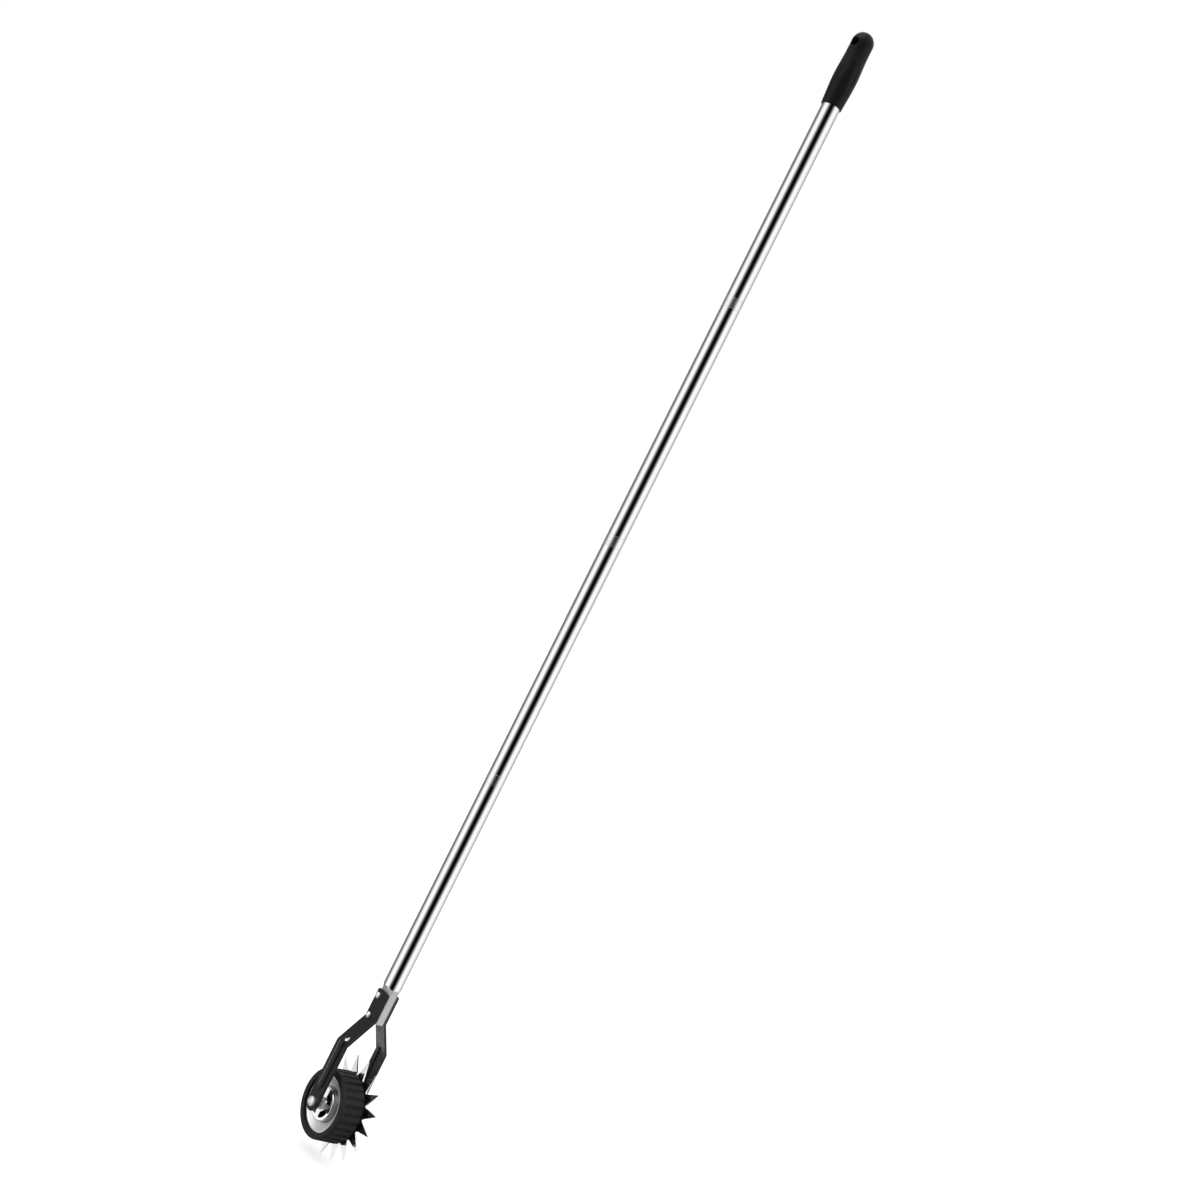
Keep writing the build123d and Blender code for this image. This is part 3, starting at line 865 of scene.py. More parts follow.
@dataclass(frozen=True)
class GroundSteel(Finish):
    """Polished plate with fine rings round the axle, and a rim's satin channel with painted shade where
    painted_shade_past is given.

    Lengths are in millimetres: radii from the axle, and places on Y.

    Attributes:
        fineness: The rings in a metre.
        painted_shade_past: Where the rim's back, painted near-black as shade, starts on Y.
        painted_shade_drum: The radius of the drum's inside, painted near-black as shade, and where it starts
            on Y.
        painted_shade: The near-black colour of that painted shade.
        painted_shade_roughness: Its roughness.
        wall: The drum wall's inner and outer radius, and where it starts on Y.
        wall_shade_color: The wall's dark grey, a painted shade.
        wall_roughness: Its roughness.
        channel_roughness: The roughness of the channel outside the wall.
        channel_satin: How far the channel is from bare metal.
    """

    swing: Range = (0.0, 0.07)
    cloud_cells: float = 70.0
    cloud_share: float = 0.04
    depth: float = 0.0012
    edge_radius: float = 0.15
    fineness: float = 2200.0
    painted_shade_past: float | None = None
    painted_shade_drum: Range = (18.4, -14.6)
    painted_shade: Color = (0.012, 0.012, 0.013)
    painted_shade_roughness: float = 0.8
    wall: tuple[float, float, float] = (19.2, 20.9, -15.3)
    wall_shade_color: Color = (0.24, 0.24, 0.245)
    wall_roughness: float = 0.34
    channel_roughness: float = 0.34
    channel_satin: float = 0.42

    def wire(self, canvas: Canvas) -> None:
        """Adds the grinding rings and the softened edges, and a rim's satin channel with painted shade.

        Args:
            canvas: What the finish is wired on.
        """
        rings = canvas.rings(self.fineness)
        normal = self.bump(canvas, rings.outputs["Height"], self.edges(canvas).outputs["Normal"])
        color = self.shade(canvas)
        gloss = self.gloss(canvas, rings.outputs["Tone"])
        if self.painted_shade_past is not None:
            color, gloss = self._rim_skin(canvas, rings.outputs["Radius"], color, gloss)
        canvas.paint(Base_Color=color, Roughness=gloss, Normal=normal)

    def _rim_skin(
        self, canvas: Canvas, radius: Socket, color: Socket, gloss: Socket
    ) -> tuple[Socket, Socket]:
        """Adds the satin channel, the painted shade on the drum's wall, and the near-black painted shade
        inside the drum and on the back.

        Args:
            canvas: What the finish is wired on.
            radius: The radius from the axle.
            color: The polished colour.
            gloss: The polished roughness.

        Returns:
            The rim's colour and roughness.
        """
        sheet = canvas.sheet
        depth = sheet.split(canvas.place)[1]
        drum, drum_start = self.painted_shade_drum
        # Painted shade: the inside of the drum and the rim's back are near-black.
        within = sheet.math("MULTIPLY", sheet.short(radius, drum), sheet.past(depth, drum_start))
        painted_shade = sheet.math("MAXIMUM", sheet.past(depth, self.painted_shade_past), within)
        inner, outer, wall_start = self.wall
        round_wall = (sheet.past(radius, inner), sheet.short(radius, outer))
        wall = sheet.math("MULTIPLY", *round_wall, sheet.past(depth, wall_start))
        channel = sheet.past(radius, outer)
        # Painted shade: the drum's wall is dark grey.
        color = sheet.mix(wall, color, opaque(self.wall_shade_color))
        zones = ((channel, self.channel_roughness), (wall, self.wall_roughness), (painted_shade, self.painted_shade_roughness))
        for zone, roughness in zones:
            gloss = sheet.math("MAXIMUM", gloss, sheet.math("MULTIPLY", zone, roughness))
        satin = sheet.math("MULTIPLY", channel, self.channel_satin)
        bare = sheet.math("SUBTRACT", self.metallic, satin)
        canvas.paint(Metallic=sheet.math("SUBTRACT", bare, painted_shade, clamp=True))
        return sheet.mix(painted_shade, color, opaque(self.painted_shade)), gloss


@dataclass(frozen=True)
class MouldedSkin(Finish):
    """Moulded plastic or rubber with a fine pebble.

    Attributes:
        fineness: The pebble's cells, in a metre.
        groove_shade_radius: The radius below which a tyre's tread is painted darker as shade in its grooves,
            in millimetres.
        groove_shade_soft: How far that fades either way.
        groove_shade: The colour of that painted shade.
        tread_facing: How squarely a surface faces along the axle where the tread ends.
    """

    swing: Range = (0.06, 0.06)
    cloud_cells: float = 120.0
    cloud_share: float = 0.12
    depth: float = 0.03
    edge_radius: float = 0.5
    edge_breakup: float = 500.0
    fineness: float = 900.0
    groove_shade_radius: float | None = None
    groove_shade_soft: float = 0.15
    groove_shade: Color = (0.0025, 0.0025, 0.003)
    tread_facing: Range = (0.5, 0.7)

    def wire(self, canvas: Canvas) -> None:
        """Adds the pebble, the softened edges, a slow drift of tone and a tyre's painted shade in its
        grooves.

        Args:
            canvas: What the finish is wired on.
        """
        sheet = canvas.sheet
        skin = canvas.effect(canvas.effects.grain, Fineness=self.fineness)
        color = self.shade(canvas)
        if self.groove_shade_radius is not None:
            radius = canvas.rings(self.fineness).outputs["Radius"]
            limits = [(self.groove_shade_radius + soft) * MM for soft in (-self.groove_shade_soft, self.groove_shade_soft)]
            sideways = sheet.math("ABSOLUTE", canvas.facing(ALONG_AXLE))
            tread = sheet.fall(sideways, *self.tread_facing)
            # Painted shade: the tread's grooves are darkened.
            deep = sheet.math("MULTIPLY", sheet.fall(radius, *limits), tread)
            color = sheet.mix(deep, color, opaque(self.groove_shade))
        gloss = self.gloss(canvas, skin.outputs["Tone"])
        normal = self.bump(canvas, skin.outputs["Height"], self.edges(canvas).outputs["Normal"])
        canvas.paint(Base_Color=color, Roughness=gloss, Normal=normal)


# How far above the arms the pressed foot is dull, in millimetres.
DULL_RISE = 6.4
TUBE_STEEL = DrawnSteel("polished_tube_steel", Slot.TUBE, (0.93, 0.93, 0.935), 0.022, 1.0)
FOOT_STEEL = replace(
    TUBE_STEEL,
    name="pressed_foot_steel",
    dull_below=Span("fork_arm_left").high.z + DULL_RISE,
)
COLLAR_STEEL = TurnedSteel("turned_collar_steel", Slot.COLLAR, (0.91, 0.91, 0.915), 0.24, 1.0)
LEFT_PAINT = SprayedPaint(
    "left_arm_black_paint",
    Slot.PAINT,
    (0.0065, 0.0065, 0.0075),
    0.38,
    specular=0.23,
    # Painted highlight: the glint spot on the rib's top end.
    glint_centre=(3.2, -27.0, AXLE_Z + 79.9),
    # Painted highlight: a paler line along the rib's shoulder.
    sheen_line_at=-3.1,
)
# The right arm's paint is a little lighter than the left arm's, and a lighter grey on faces towards the bolt
# heads high on the arm.
RIGHT_PAINT = SprayedPaint(
    "right_arm_black_paint",
    Slot.PAINT,
    (0.009, 0.009, 0.010),
    0.40,
    specular=0.32,
    lighter_side_on=True,
)
ZINC = ZincPlate("bright_zinc_plate", Slot.ZINC, (0.86, 0.86, 0.87), 0.26, 0.72)
RIM_CHROME = GroundSteel(
    "bright_rim_chrome",
    Slot.RIM,
    (0.93, 0.93, 0.935),
    0.07,
    1.0,
    swing=(0.0, 0.05),
    fineness=1500.0,
    # Painted shade: past this place the rim's back is near-black, and so is the drum's inside.
    painted_shade_past=-7.8,
)
STAR_STEEL = GroundSteel("polished_star_steel", Slot.STAR, (0.88, 0.88, 0.885), 0.10, 1.0)
TYRE_RUBBER = MouldedSkin(
    "ribbed_tyre_rubber",
    Slot.TYRE,
    (0.0115, 0.0115, 0.013),
    0.60,
    specular=0.26,
    fineness=1300.0,
    edge_radius=0.25,
    # Painted shade: the tread is darker below this radius.
    groove_shade_radius=39.5,
)
GRIP_PLASTIC = MouldedSkin(
    "grip_moulding",
    Slot.GRIP,
    (0.007, 0.007, 0.0082),
    0.28,
    specular=0.13,
    edge_radius=0.8,
)
BUSH_NYLON = MouldedSkin(
    "bush_nylon",
    Slot.BUSH,
    (0.72, 0.72, 0.69),
    0.45,
    depth=0.01,
    edge_radius=0.3,
    cloud_share=0.04,
)


class Paintbox:
    """Makes each finish's material once and puts it on pieces."""

    def __init__(self) -> None:
        """Builds the shared effects."""
        self.effects = Effects()
        self.made: dict[str, bpy.types.Material] = {}

    def put(self, finish: Finish, piece: Piece) -> None:
        """Dresses a piece.

        Args:
            finish: The finish.
            piece: The piece that gets it.
        """
        if finish.name not in self.made:
            self.made[finish.name] = finish.make(self.effects)
        piece.data.materials.clear()
        piece.data.materials.append(self.made[finish.name])
        log.info("%s: %s", piece.name, finish.name)

    def dress(self, finish: Finish, *nodes: str) -> None:
        """Dresses CAD nodes, given by name."""
        for name in nodes:
            self.put(finish, frame["nodes"][name])

    def fasten(self, piece: Piece, body: Body, node: str) -> None:
        """Puts a zinc fastener on its body in place of a CAD node.

        Args:
            piece: The fastener.
            body: The body that it rides on.
            node: The node that it replaces.
        """
        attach(piece, body.value)
        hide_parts(node)
        self.put(ZINC, piece)


class Bench:
    """The modelling steps that the pieces share."""

    SMOOTH_ANGLE = math.radians(32.0)
    WELD = 0.002
    RING_SIDES = 48
    HEX_SIDES = 6

    @staticmethod
    def clear() -> None:
        """Selects nothing."""
        bpy.ops.object.select_all(action="DESELECT")

    @staticmethod
    def only(piece: Piece) -> None:
        """Selects one piece and makes it active.

        Args:
            piece: The piece.
        """
        Bench.clear()
        piece.select_set(True)
        bpy.context.view_layer.objects.active = piece

    @staticmethod
    def settle(piece: Piece) -> None:
        """Puts a piece's place into its mesh."""
        Bench.only(piece)
        bpy.ops.object.transform_apply(location=True, rotation=True, scale=True)

    @staticmethod
    def named(name: str) -> Piece:
        """Names the piece that was just added.

        Args:
            name: The piece's name.

        Returns:
            The piece.
        """
        piece = bpy.context.object
        piece.name = name
        piece.data.name = name
        return piece

    @staticmethod
    def turn(name: str, outline: Outline, segments: int = RING_SIDES) -> Piece:
        """Models a round piece along Y, ring by ring.

        Args:
            name: The piece's name.
            outline: Each ring's place along Y and radius, in millimetres, from low Y to high.
            segments: How many sides each ring has.

        Returns:
            The piece, with its axis on Y.
        """
        Bench.clear()
        start, radius = outline[0]
        bpy.ops.mesh.primitive_circle_add(
            vertices=segments,
            radius=radius * MM,
            fill_type="NGON",
            rotation=(math.pi / 2, 0.0, 0.0),
            location=(0.0, start * MM, 0.0),
        )
        piece = Bench.named(name)
        Bench.settle(piece)
        bpy.ops.object.mode_set(mode="EDIT")
        bpy.ops.mesh.select_all(action="SELECT")
        for (before, wide), (after, next_wide) in zip(outline, outline[1:]):
            step = (0.0, (after - before) * MM, 0.0)
            bpy.ops.mesh.extrude_region_move(TRANSFORM_OT_translate={"value": step})
            share = next_wide / wide
            bpy.ops.transform.resize(value=(share, 1.0, share), center_override=(0.0, after * MM, 0.0))
        bpy.ops.mesh.select_all(action="SELECT")
        bpy.ops.mesh.normals_make_consistent(inside=False)
        bpy.ops.object.mode_set(mode="OBJECT")
        return piece

    @staticmethod
    def hexagon(name: str, flats: float, low: float, high: float) -> Piece:
        """Models a six-sided bar along Y, with corners on X.

        Args:
            name: The piece's name.
            flats: Its width across flats, in millimetres.
            low: Where it starts along Y.
            high: Where it ends along Y.

        Returns:
            The bar.
        """
        Bench.clear()
        bpy.ops.mesh.primitive_cylinder_add(
            vertices=Bench.HEX_SIDES,
            radius=flats / math.sqrt(3.0) * MM,
            depth=(high - low) * MM,
            location=(0.0, (low + high) / 2 * MM, 0.0),
            rotation=(math.pi / 2, math.pi / Bench.HEX_SIDES, 0.0),
        )
        piece = Bench.named(name)
        Bench.settle(piece)
        return piece

    @staticmethod
    def cut(piece: Piece, tool: Piece, how: Cut) -> None:
        """Cuts a piece by another, takes the other away and welds what the cut left.

        Args:
            piece: The piece that stays.
            tool: The piece that cuts it.
            how: What is kept.
        """
        Bench.only(piece)
        modifier = piece.modifiers.new("cut", "BOOLEAN")
        modifier.operation = how.value
        modifier.solver = "EXACT"
        modifier.object = tool
        bpy.ops.object.modifier_apply(modifier=modifier.name)
        bpy.data.objects.remove(tool)
        bpy.ops.object.mode_set(mode="EDIT")
        bpy.ops.mesh.select_all(action="SELECT")
        bpy.ops.mesh.remove_doubles(threshold=Bench.WELD * MM)
        bpy.ops.object.mode_set(mode="OBJECT")

    @staticmethod
    def join(piece: Piece, other: Piece) -> None:
        """Joins another piece to one.

        Args:
            piece: The piece that stays.
            other: The piece that becomes part of it.
        """
        Bench.only(piece)
        other.select_set(True)
        bpy.ops.object.join()

    @staticmethod
    def copy(piece: Piece, name: str) -> Piece:
        """Copies a piece, with a mesh of its own.

        Args:
            piece: The piece to copy.
            name: The copy's name.

        Returns:
            The copy.
        """
        Bench.only(piece)
        bpy.ops.object.duplicate(linked=False)
        return Bench.named(name)

    @staticmethod
    def smooth(piece: Piece) -> None:
        """Shades a piece smooth except over its edges."""
        Bench.only(piece)
        bpy.ops.object.shade_smooth_by_angle(angle=Bench.SMOOTH_ANGLE)

    @staticmethod
    def stand(piece: Piece, place: Place, turn: float = 0.0) -> None:
        """Puts a piece where it belongs.

        Args:
            piece: The piece, modelled round Y.
            place: Its axis's place, in millimetres.
            turn: Its turn about Y, in radians.
        """
        piece.location = Vector(place) * MM
        piece.rotation_euler = (0.0, turn, 0.0)
        Bench.settle(piece)


@dataclass
class Bolt:
    """A domed bolt along Y with a rolled thread at its end.

    Attributes:
        head_face: Where the head's underside sits along Y, in millimetres.
        end: Where the bolt ends along Y.
        radius: The thread's outer radius.
        head_radius: The head's radius.
        head_height: The head's height.
        thread_length: How far the thread runs back from the end.
        pitch: The thread's pitch.
        head_step: The height of the head's straight side.
        head_edge: How far the head's lower edge is broken.
        dome_rings: How many rings round the dome has.
        dome_start: The share of the dome's lean at its first ring.
        thread_depth: How deep the thread is.
        root: Where the thread's root starts and ends in a pitch.
        crest: Where its crest starts in a pitch.
        tip: The length and depth of the broken edge at the end.
    """

    head_face: float
    end: float
    radius: float
    head_radius: float
    head_height: float
    thread_length: float
    pitch: float
    head_step: float
    head_edge: float = 0.15
    dome_rings: int = 7
    dome_start: float = 0.06
    thread_depth: float = 0.35
    root: Range = (0.5, 0.62)
    crest: float = 0.94
    tip: Range = (0.1, 0.2)

    def outline(self) -> Outline:
        """The bolt's half section.

        Returns:
            Each ring's place along Y and radius.
        """
        rise = self.head_height - self.head_step
        sweep = (self.head_radius ** 2 + rise ** 2) / (2.0 * rise)
        lean = math.asin(self.head_radius / sweep)
        top = self.head_face - self.head_height
        rings: Outline = []
        for step in range(self.dome_rings + 1):
            share = self.dome_start + (1.0 - self.dome_start) * step / self.dome_rings
            angle = lean * share
            rings.append((top + sweep * (1.0 - math.cos(angle)), sweep * math.sin(angle)))
        rings.append((self.head_face - self.head_edge, self.head_radius))
        rings.append((self.head_face, self.head_radius - self.head_edge))
        rings.append((self.head_face, self.radius))
        start = self.end - self.thread_length
        rings.append((start, self.radius))
        inner = self.radius - self.thread_depth
        turns = int(self.thread_length / self.pitch)
        for turn in range(turns):
            low = start + turn * self.pitch
            rings += [(low + share * self.pitch, inner) for share in self.root]
            if turn < turns - 1:
                rings += [(low + share * self.pitch, self.radius) for share in (self.crest, 1.0)]
        length, depth = self.tip
        rings.append((self.end - length, inner))
        rings.append((self.end, inner - depth))
        return rings

    def build(self, name: str) -> Piece:
        """Models the bolt on Y.

        Args:
            name: The bolt's name.

        Returns:
            The bolt.
        """
        piece = Bench.turn(name, self.outline())
        Bench.smooth(piece)
        return piece


@dataclass
class Nut:
    """A six-sided nut along Y with turned-off corners.

    Attributes:
        low: Where it starts along Y, in millimetres.
        high: Where its six sides end.
        flats: Its width across flats.
        bore: The radius of its hole.
        collar: How far a locking collar stands past the six sides, or 0.
        corner: How far down the corners are turned off.
        spare: How far the turned barrel goes past the corners and the flats.
        barrel_sides: How many sides the barrel has.
        collar_inset: How far the collar stands in from the flats.
        collar_sink: How far it goes into the six sides.
        collar_lip: How far below the top and in from the side its rolled lip goes.
        drill_past: How far the drill goes past the ends.
    """

    low: float
    high: float
    flats: float
    bore: float
    collar: float = 0.0
    corner: float = 0.55
    spare: float = 0.1
    barrel_sides: int = 64
    collar_inset: float = 0.55
    collar_sink: float = 0.05
    collar_lip: tuple[Range, ...] = ((0.7, 0.0), (0.3, 0.12), (0.08, 0.4), (0.0, 0.75), (0.25, 0.95))
    drill_past: float = 1.0

    def build(self, name: str) -> Piece:
        """Models the nut on Y.

        Args:
            name: The nut's name.

        Returns:
            The nut.
        """
        half = self.flats / 2.0
        narrow = half - self.spare
        wide = self.flats / math.sqrt(3.0) + self.spare
        piece = Bench.hexagon(name, self.flats, self.low, self.high)
        barrel = [
            (self.low, narrow),
            (self.low + self.corner, wide),
            (self.high - self.corner, wide),
            (self.high, narrow),
        ]
        Bench.cut(piece, Bench.turn("corner_barrel", barrel, self.barrel_sides), Cut.KEEP_COMMON)
        self._drill(piece)
        if self.collar:
            top = self.high + self.collar
            shell = half - self.collar_inset
            ring = [(self.high - self.collar_sink, shell)]
            ring += [(top - drop, shell - inset) for drop, inset in self.collar_lip]
            collar = Bench.turn("locking_collar", ring)
            self._drill(collar)
            Bench.join(piece, collar)
        Bench.smooth(piece)
        return piece

    def _drill(self, piece: Piece) -> None:
        """Cuts the nut's hole through one of its solids.

        Args:
            piece: The solid.
        """
        reach = self.high + self.collar + self.drill_past
        bore = Bench.turn("bore", [(self.low - self.drill_past, self.bore), (reach, self.bore)])
        Bench.cut(piece, bore, Cut.TAKE_AWAY)


@dataclass
class CrossScrew:
    """A pan-head screw along Y with a cross recess.

    Attributes:
        head_face: Where the head's underside sits along Y, in millimetres.
        head_height: The head's height.
        head_radius: The head's radius.
        radius: The shank's radius.
        length: The shank's length.
        tip_radius: The radius of its blunt tip.
        tip_length: How long its point is.
        head_edge: How far the head's lower edge is broken.
        crown: How far below the top each ring of the crown is, and its share of the head's radius.
        recess_span: The cross's size across.
        recess_width: The width of its wings.
        recess_depth: How deep it is.
        recess_foot: How much smaller the wings are at their foot.
        blade_past: How far the tool that cuts a wing stands out of the head.
    """

    head_face: float
    head_height: float
    head_radius: float
    radius: float
    length: float
    tip_radius: float = 0.3
    tip_length: float = 1.6
    head_edge: float = 0.15
    crown: tuple[Range, ...] = (
        (1.0, 1.0),
        (0.62, 0.965),
        (0.33, 0.87),
        (0.13, 0.7),
        (0.03, 0.45),
        (0.0, 0.12),
    )
    recess_span: float = 3.9
    recess_width: float = 0.85
    recess_depth: float = 1.35
    recess_foot: tuple[float, float, float] = (0.35, 1.0, 0.6)
    blade_past: float = 0.5

    TOUCH = 0.01

    def build(self, name: str) -> Piece:
        """Models the screw on Y, its head towards +Y.

        Args:
            name: The screw's name.

        Returns:
            The screw.
        """
        top = self.head_face + self.head_height
        wide = self.head_radius
        tip = self.head_face - self.length
        outline = [
            (tip, self.tip_radius),
            (tip + self.tip_length, self.radius),
            (self.head_face, self.radius),
            (self.head_face, wide - self.head_edge),
            (self.head_face + self.head_edge, wide),
        ]
        outline += [(top - drop, wide * share) for drop, share in self.crown]
        piece = Bench.turn(name, outline)
        for turn in (0.0, math.pi / 2):
            Bench.cut(piece, self._blade(top, turn), Cut.TAKE_AWAY)
        Bench.smooth(piece)
        return piece

    def _blade(self, top: float, turn: float) -> Piece:
        """One wing pair of the cross, narrower at its foot.

        Args:
            top: Where the head ends along Y.
            turn: The wing's turn about Y.

        Returns:
            The tool that cuts it.
        """
        Bench.clear()
        deep = self.recess_depth + self.blade_past
        middle = (top + self.blade_past - deep / 2) * MM
        bpy.ops.mesh.primitive_cube_add(size=1.0, location=(0.0, middle, 0.0))
        blade = bpy.context.object
        blade.scale = Vector((self.recess_span, deep, self.recess_width)) * MM
        Bench.settle(blade)
        bpy.ops.object.mode_set(mode="EDIT")
        bpy.ops.mesh.select_all(action="DESELECT")
        bpy.ops.object.mode_set(mode="OBJECT")
        foot = min(vertex.co.y for vertex in blade.data.vertices)
        for vertex in blade.data.vertices:
            vertex.select = vertex.co.y < foot + self.TOUCH * MM
        bpy.ops.object.mode_set(mode="EDIT")
        bpy.ops.transform.resize(value=self.recess_foot, center_override=(0.0, foot, 0.0))
        bpy.ops.object.mode_set(mode="OBJECT")
        Bench.stand(blade, (0.0, 0.0, 0.0), turn)
        return blade


@dataclass
class Handle:
    """The sectional tube handle and its grip.

    Attributes:
        paintbox: The finishes.
        tubes: The tubes above the foot.
        joints: How many joints there are between the tubes.
    """

    paintbox: Paintbox
    tubes: tuple[str, ...] = ("tube_upper", "tube_mid_upper", "tube_mid_lower")
    joints: int = 3

    def dress(self) -> None:
        """Dresses the tubes, the joints and the grip."""
        self.paintbox.dress(TUBE_STEEL, *self.tubes)
        self.paintbox.dress(FOOT_STEEL, "tube_foot")
        for kind in ("joint_stud", "socket"):
            nodes = [f"{kind}_{number}" for number in range(1, self.joints + 1)]
            self.paintbox.dress(COLLAR_STEEL, *nodes)
        self.paintbox.dress(GRIP_PLASTIC, "grip")


@dataclass
class Fork:
    """The two painted arms and the bolts that clamp them to the handle's foot.

    Attributes:
        paintbox: The finishes.
        bolt_radius: The bolts' radius, in millimetres.
        head_step: The height of their heads' straight side.
        thread_length: How far their thread runs back from the end.
        thread_bite: How much smaller the nuts' holes are in radius.
        pitch: The thread's pitch.
    """

    paintbox: Paintbox
    bolt_radius: float = 2.5
    head_step: float = 1.8
    thread_length: float = 5.0
    thread_bite: float = 0.2
    pitch: float = 0.8

    def build(self) -> None:
        """Models the clamp bolts and nuts."""
        bolts = Span("clamp_bolts")
        nuts = Span("clamp_nuts")
        head_radius = bolts.size.x / 2.0
        flats = nuts.size.x * math.sqrt(0.75)
        face = nuts.low.y
        bolt = Bolt(
            head_face=-face,
            end=bolts.high.y,
            radius=self.bolt_radius,
            head_radius=head_radius,
            head_height=-face - bolts.low.y,
            head_step=self.head_step,
            thread_length=self.thread_length,
            pitch=self.pitch,
        )
        nut = Nut(low=face, high=nuts.high.y, flats=flats, bore=self.bolt_radius - self.thread_bite)
        rises = (bolts.low.z + head_radius, bolts.high.z - head_radius)
        for name, maker, node in (("clamp_bolt", bolt, "clamp_bolts"), ("clamp_nut", nut, "clamp_nuts")):
            lower = maker.build(f"{name}_lower")
            upper = Bench.copy(lower, f"{name}_upper")
            for piece, rise in zip((lower, upper), rises):
                Bench.stand(piece, (bolts.middle.x, 0.0, rise))
                self.paintbox.fasten(piece, Body.HANDLE, node)

    def dress(self) -> None:
        """Dresses the arms."""
        self.paintbox.dress(LEFT_PAINT, "fork_arm_left")
        self.paintbox.dress(RIGHT_PAINT, "fork_arm_right")


@dataclass
class Axle:
    """The axle bolt with its nut, and what it carries between the arms.

    Attributes:
        paintbox: The finishes.
        bolt_radius: The bolt's radius, in millimetres.
        head_step: The height of its head's straight side.
        thread_length: How far its thread runs back from the end.
        thread_bite: How much smaller the nut's hole is in radius.
        pitch: The thread's pitch.
        collar: How far the nut's locking collar stands past its six sides.
    """

    paintbox: Paintbox
    bolt_radius: float = 3.0
    head_step: float = 2.8
    thread_length: float = 9.0
    thread_bite: float = 0.25
    pitch: float = 1.0
    collar: float = 1.6

    def build(self) -> None:
        """Models the bolt and the locking nut."""
        rod = Span("axle_bolt")
        hexagon = Span("axle_nut")
        face = Span("axle_washer").low.y
        bolt = Bolt(
            head_face=-face,
            end=rod.high.y,
            radius=self.bolt_radius,
            head_radius=rod.size.x / 2.0,
            head_height=-face - rod.low.y,
            head_step=self.head_step,
            thread_length=self.thread_length,
            pitch=self.pitch,
        )
        nut = Nut(
            low=hexagon.low.y,
            high=hexagon.high.y - self.collar,
            flats=hexagon.size.x * math.sqrt(0.75),
            bore=self.bolt_radius - self.thread_bite,
            collar=self.collar,
        )
        makers = (("axle_bolt_threaded", bolt, "axle_bolt"), ("axle_lock_nut", nut, "axle_nut"))
        for name, maker, node in makers:
            piece = maker.build(name)
            Bench.stand(piece, (0.0, 0.0, AXLE_Z))
            self.paintbox.fasten(piece, Body.HANDLE, node)

    def dress(self) -> None:
        """Dresses the washer, the sleeve and the spacers."""
        self.paintbox.dress(ZINC, "axle_washer", "axle_sleeve", "spacer_left", "spacer_right")


@dataclass
class Wheel:
    """The tyred wheel with its star cutter.

    Attributes:
        paintbox: The finishes.
        screw_radius: The radius of the star's screws, in millimetres.
        screw_head_radius: Their heads' radius.
        screw_circle: How far they stand from the axle.
        screw_angles: Where they stand round it, in degrees.
        cross_turn: How far their crosses are turned from there, in radians.
    """

    paintbox: Paintbox
    screw_radius: float = 1.6
    screw_head_radius: float = 3.6
    screw_circle: float = 22.0
    screw_angles: tuple[float, ...] = (125.0, 245.0, 5.0)
    cross_turn: float = 0.4

    def build(self) -> None:
        """Models the screws that hold the star."""
        screws = Span("star_screws")
        face = Span("star_cutter").high.y
        screw = CrossScrew(
            head_face=face,
            head_height=screws.high.y - face,
            head_radius=self.screw_head_radius,
            radius=self.screw_radius,
            length=face - screws.low.y,
        )
        pieces = [screw.build("star_screw_1")]
        for number in range(2, len(self.screw_angles) + 1):
            pieces.append(Bench.copy(pieces[0], f"star_screw_{number}"))
        for piece, degrees in zip(pieces, self.screw_angles):
            angle = math.radians(degrees)
            across = self.screw_circle * math.cos(angle)
            rise = self.screw_circle * math.sin(angle)
            Bench.stand(piece, (across, 0.0, AXLE_Z + rise), self.cross_turn - angle)
            self.paintbox.fasten(piece, Body.WHEEL, "star_screws")

    def dress(self) -> None:
        """Dresses the rim, the bushes, the tyre and the star."""
        self.paintbox.dress(RIM_CHROME, "wheel_rim")
        self.paintbox.dress(BUSH_NYLON, "hub_bush_left", "hub_bush_right")
        self.paintbox.dress(TYRE_RUBBER, "tyre")
        self.paintbox.dress(STAR_STEEL, "star_cutter")


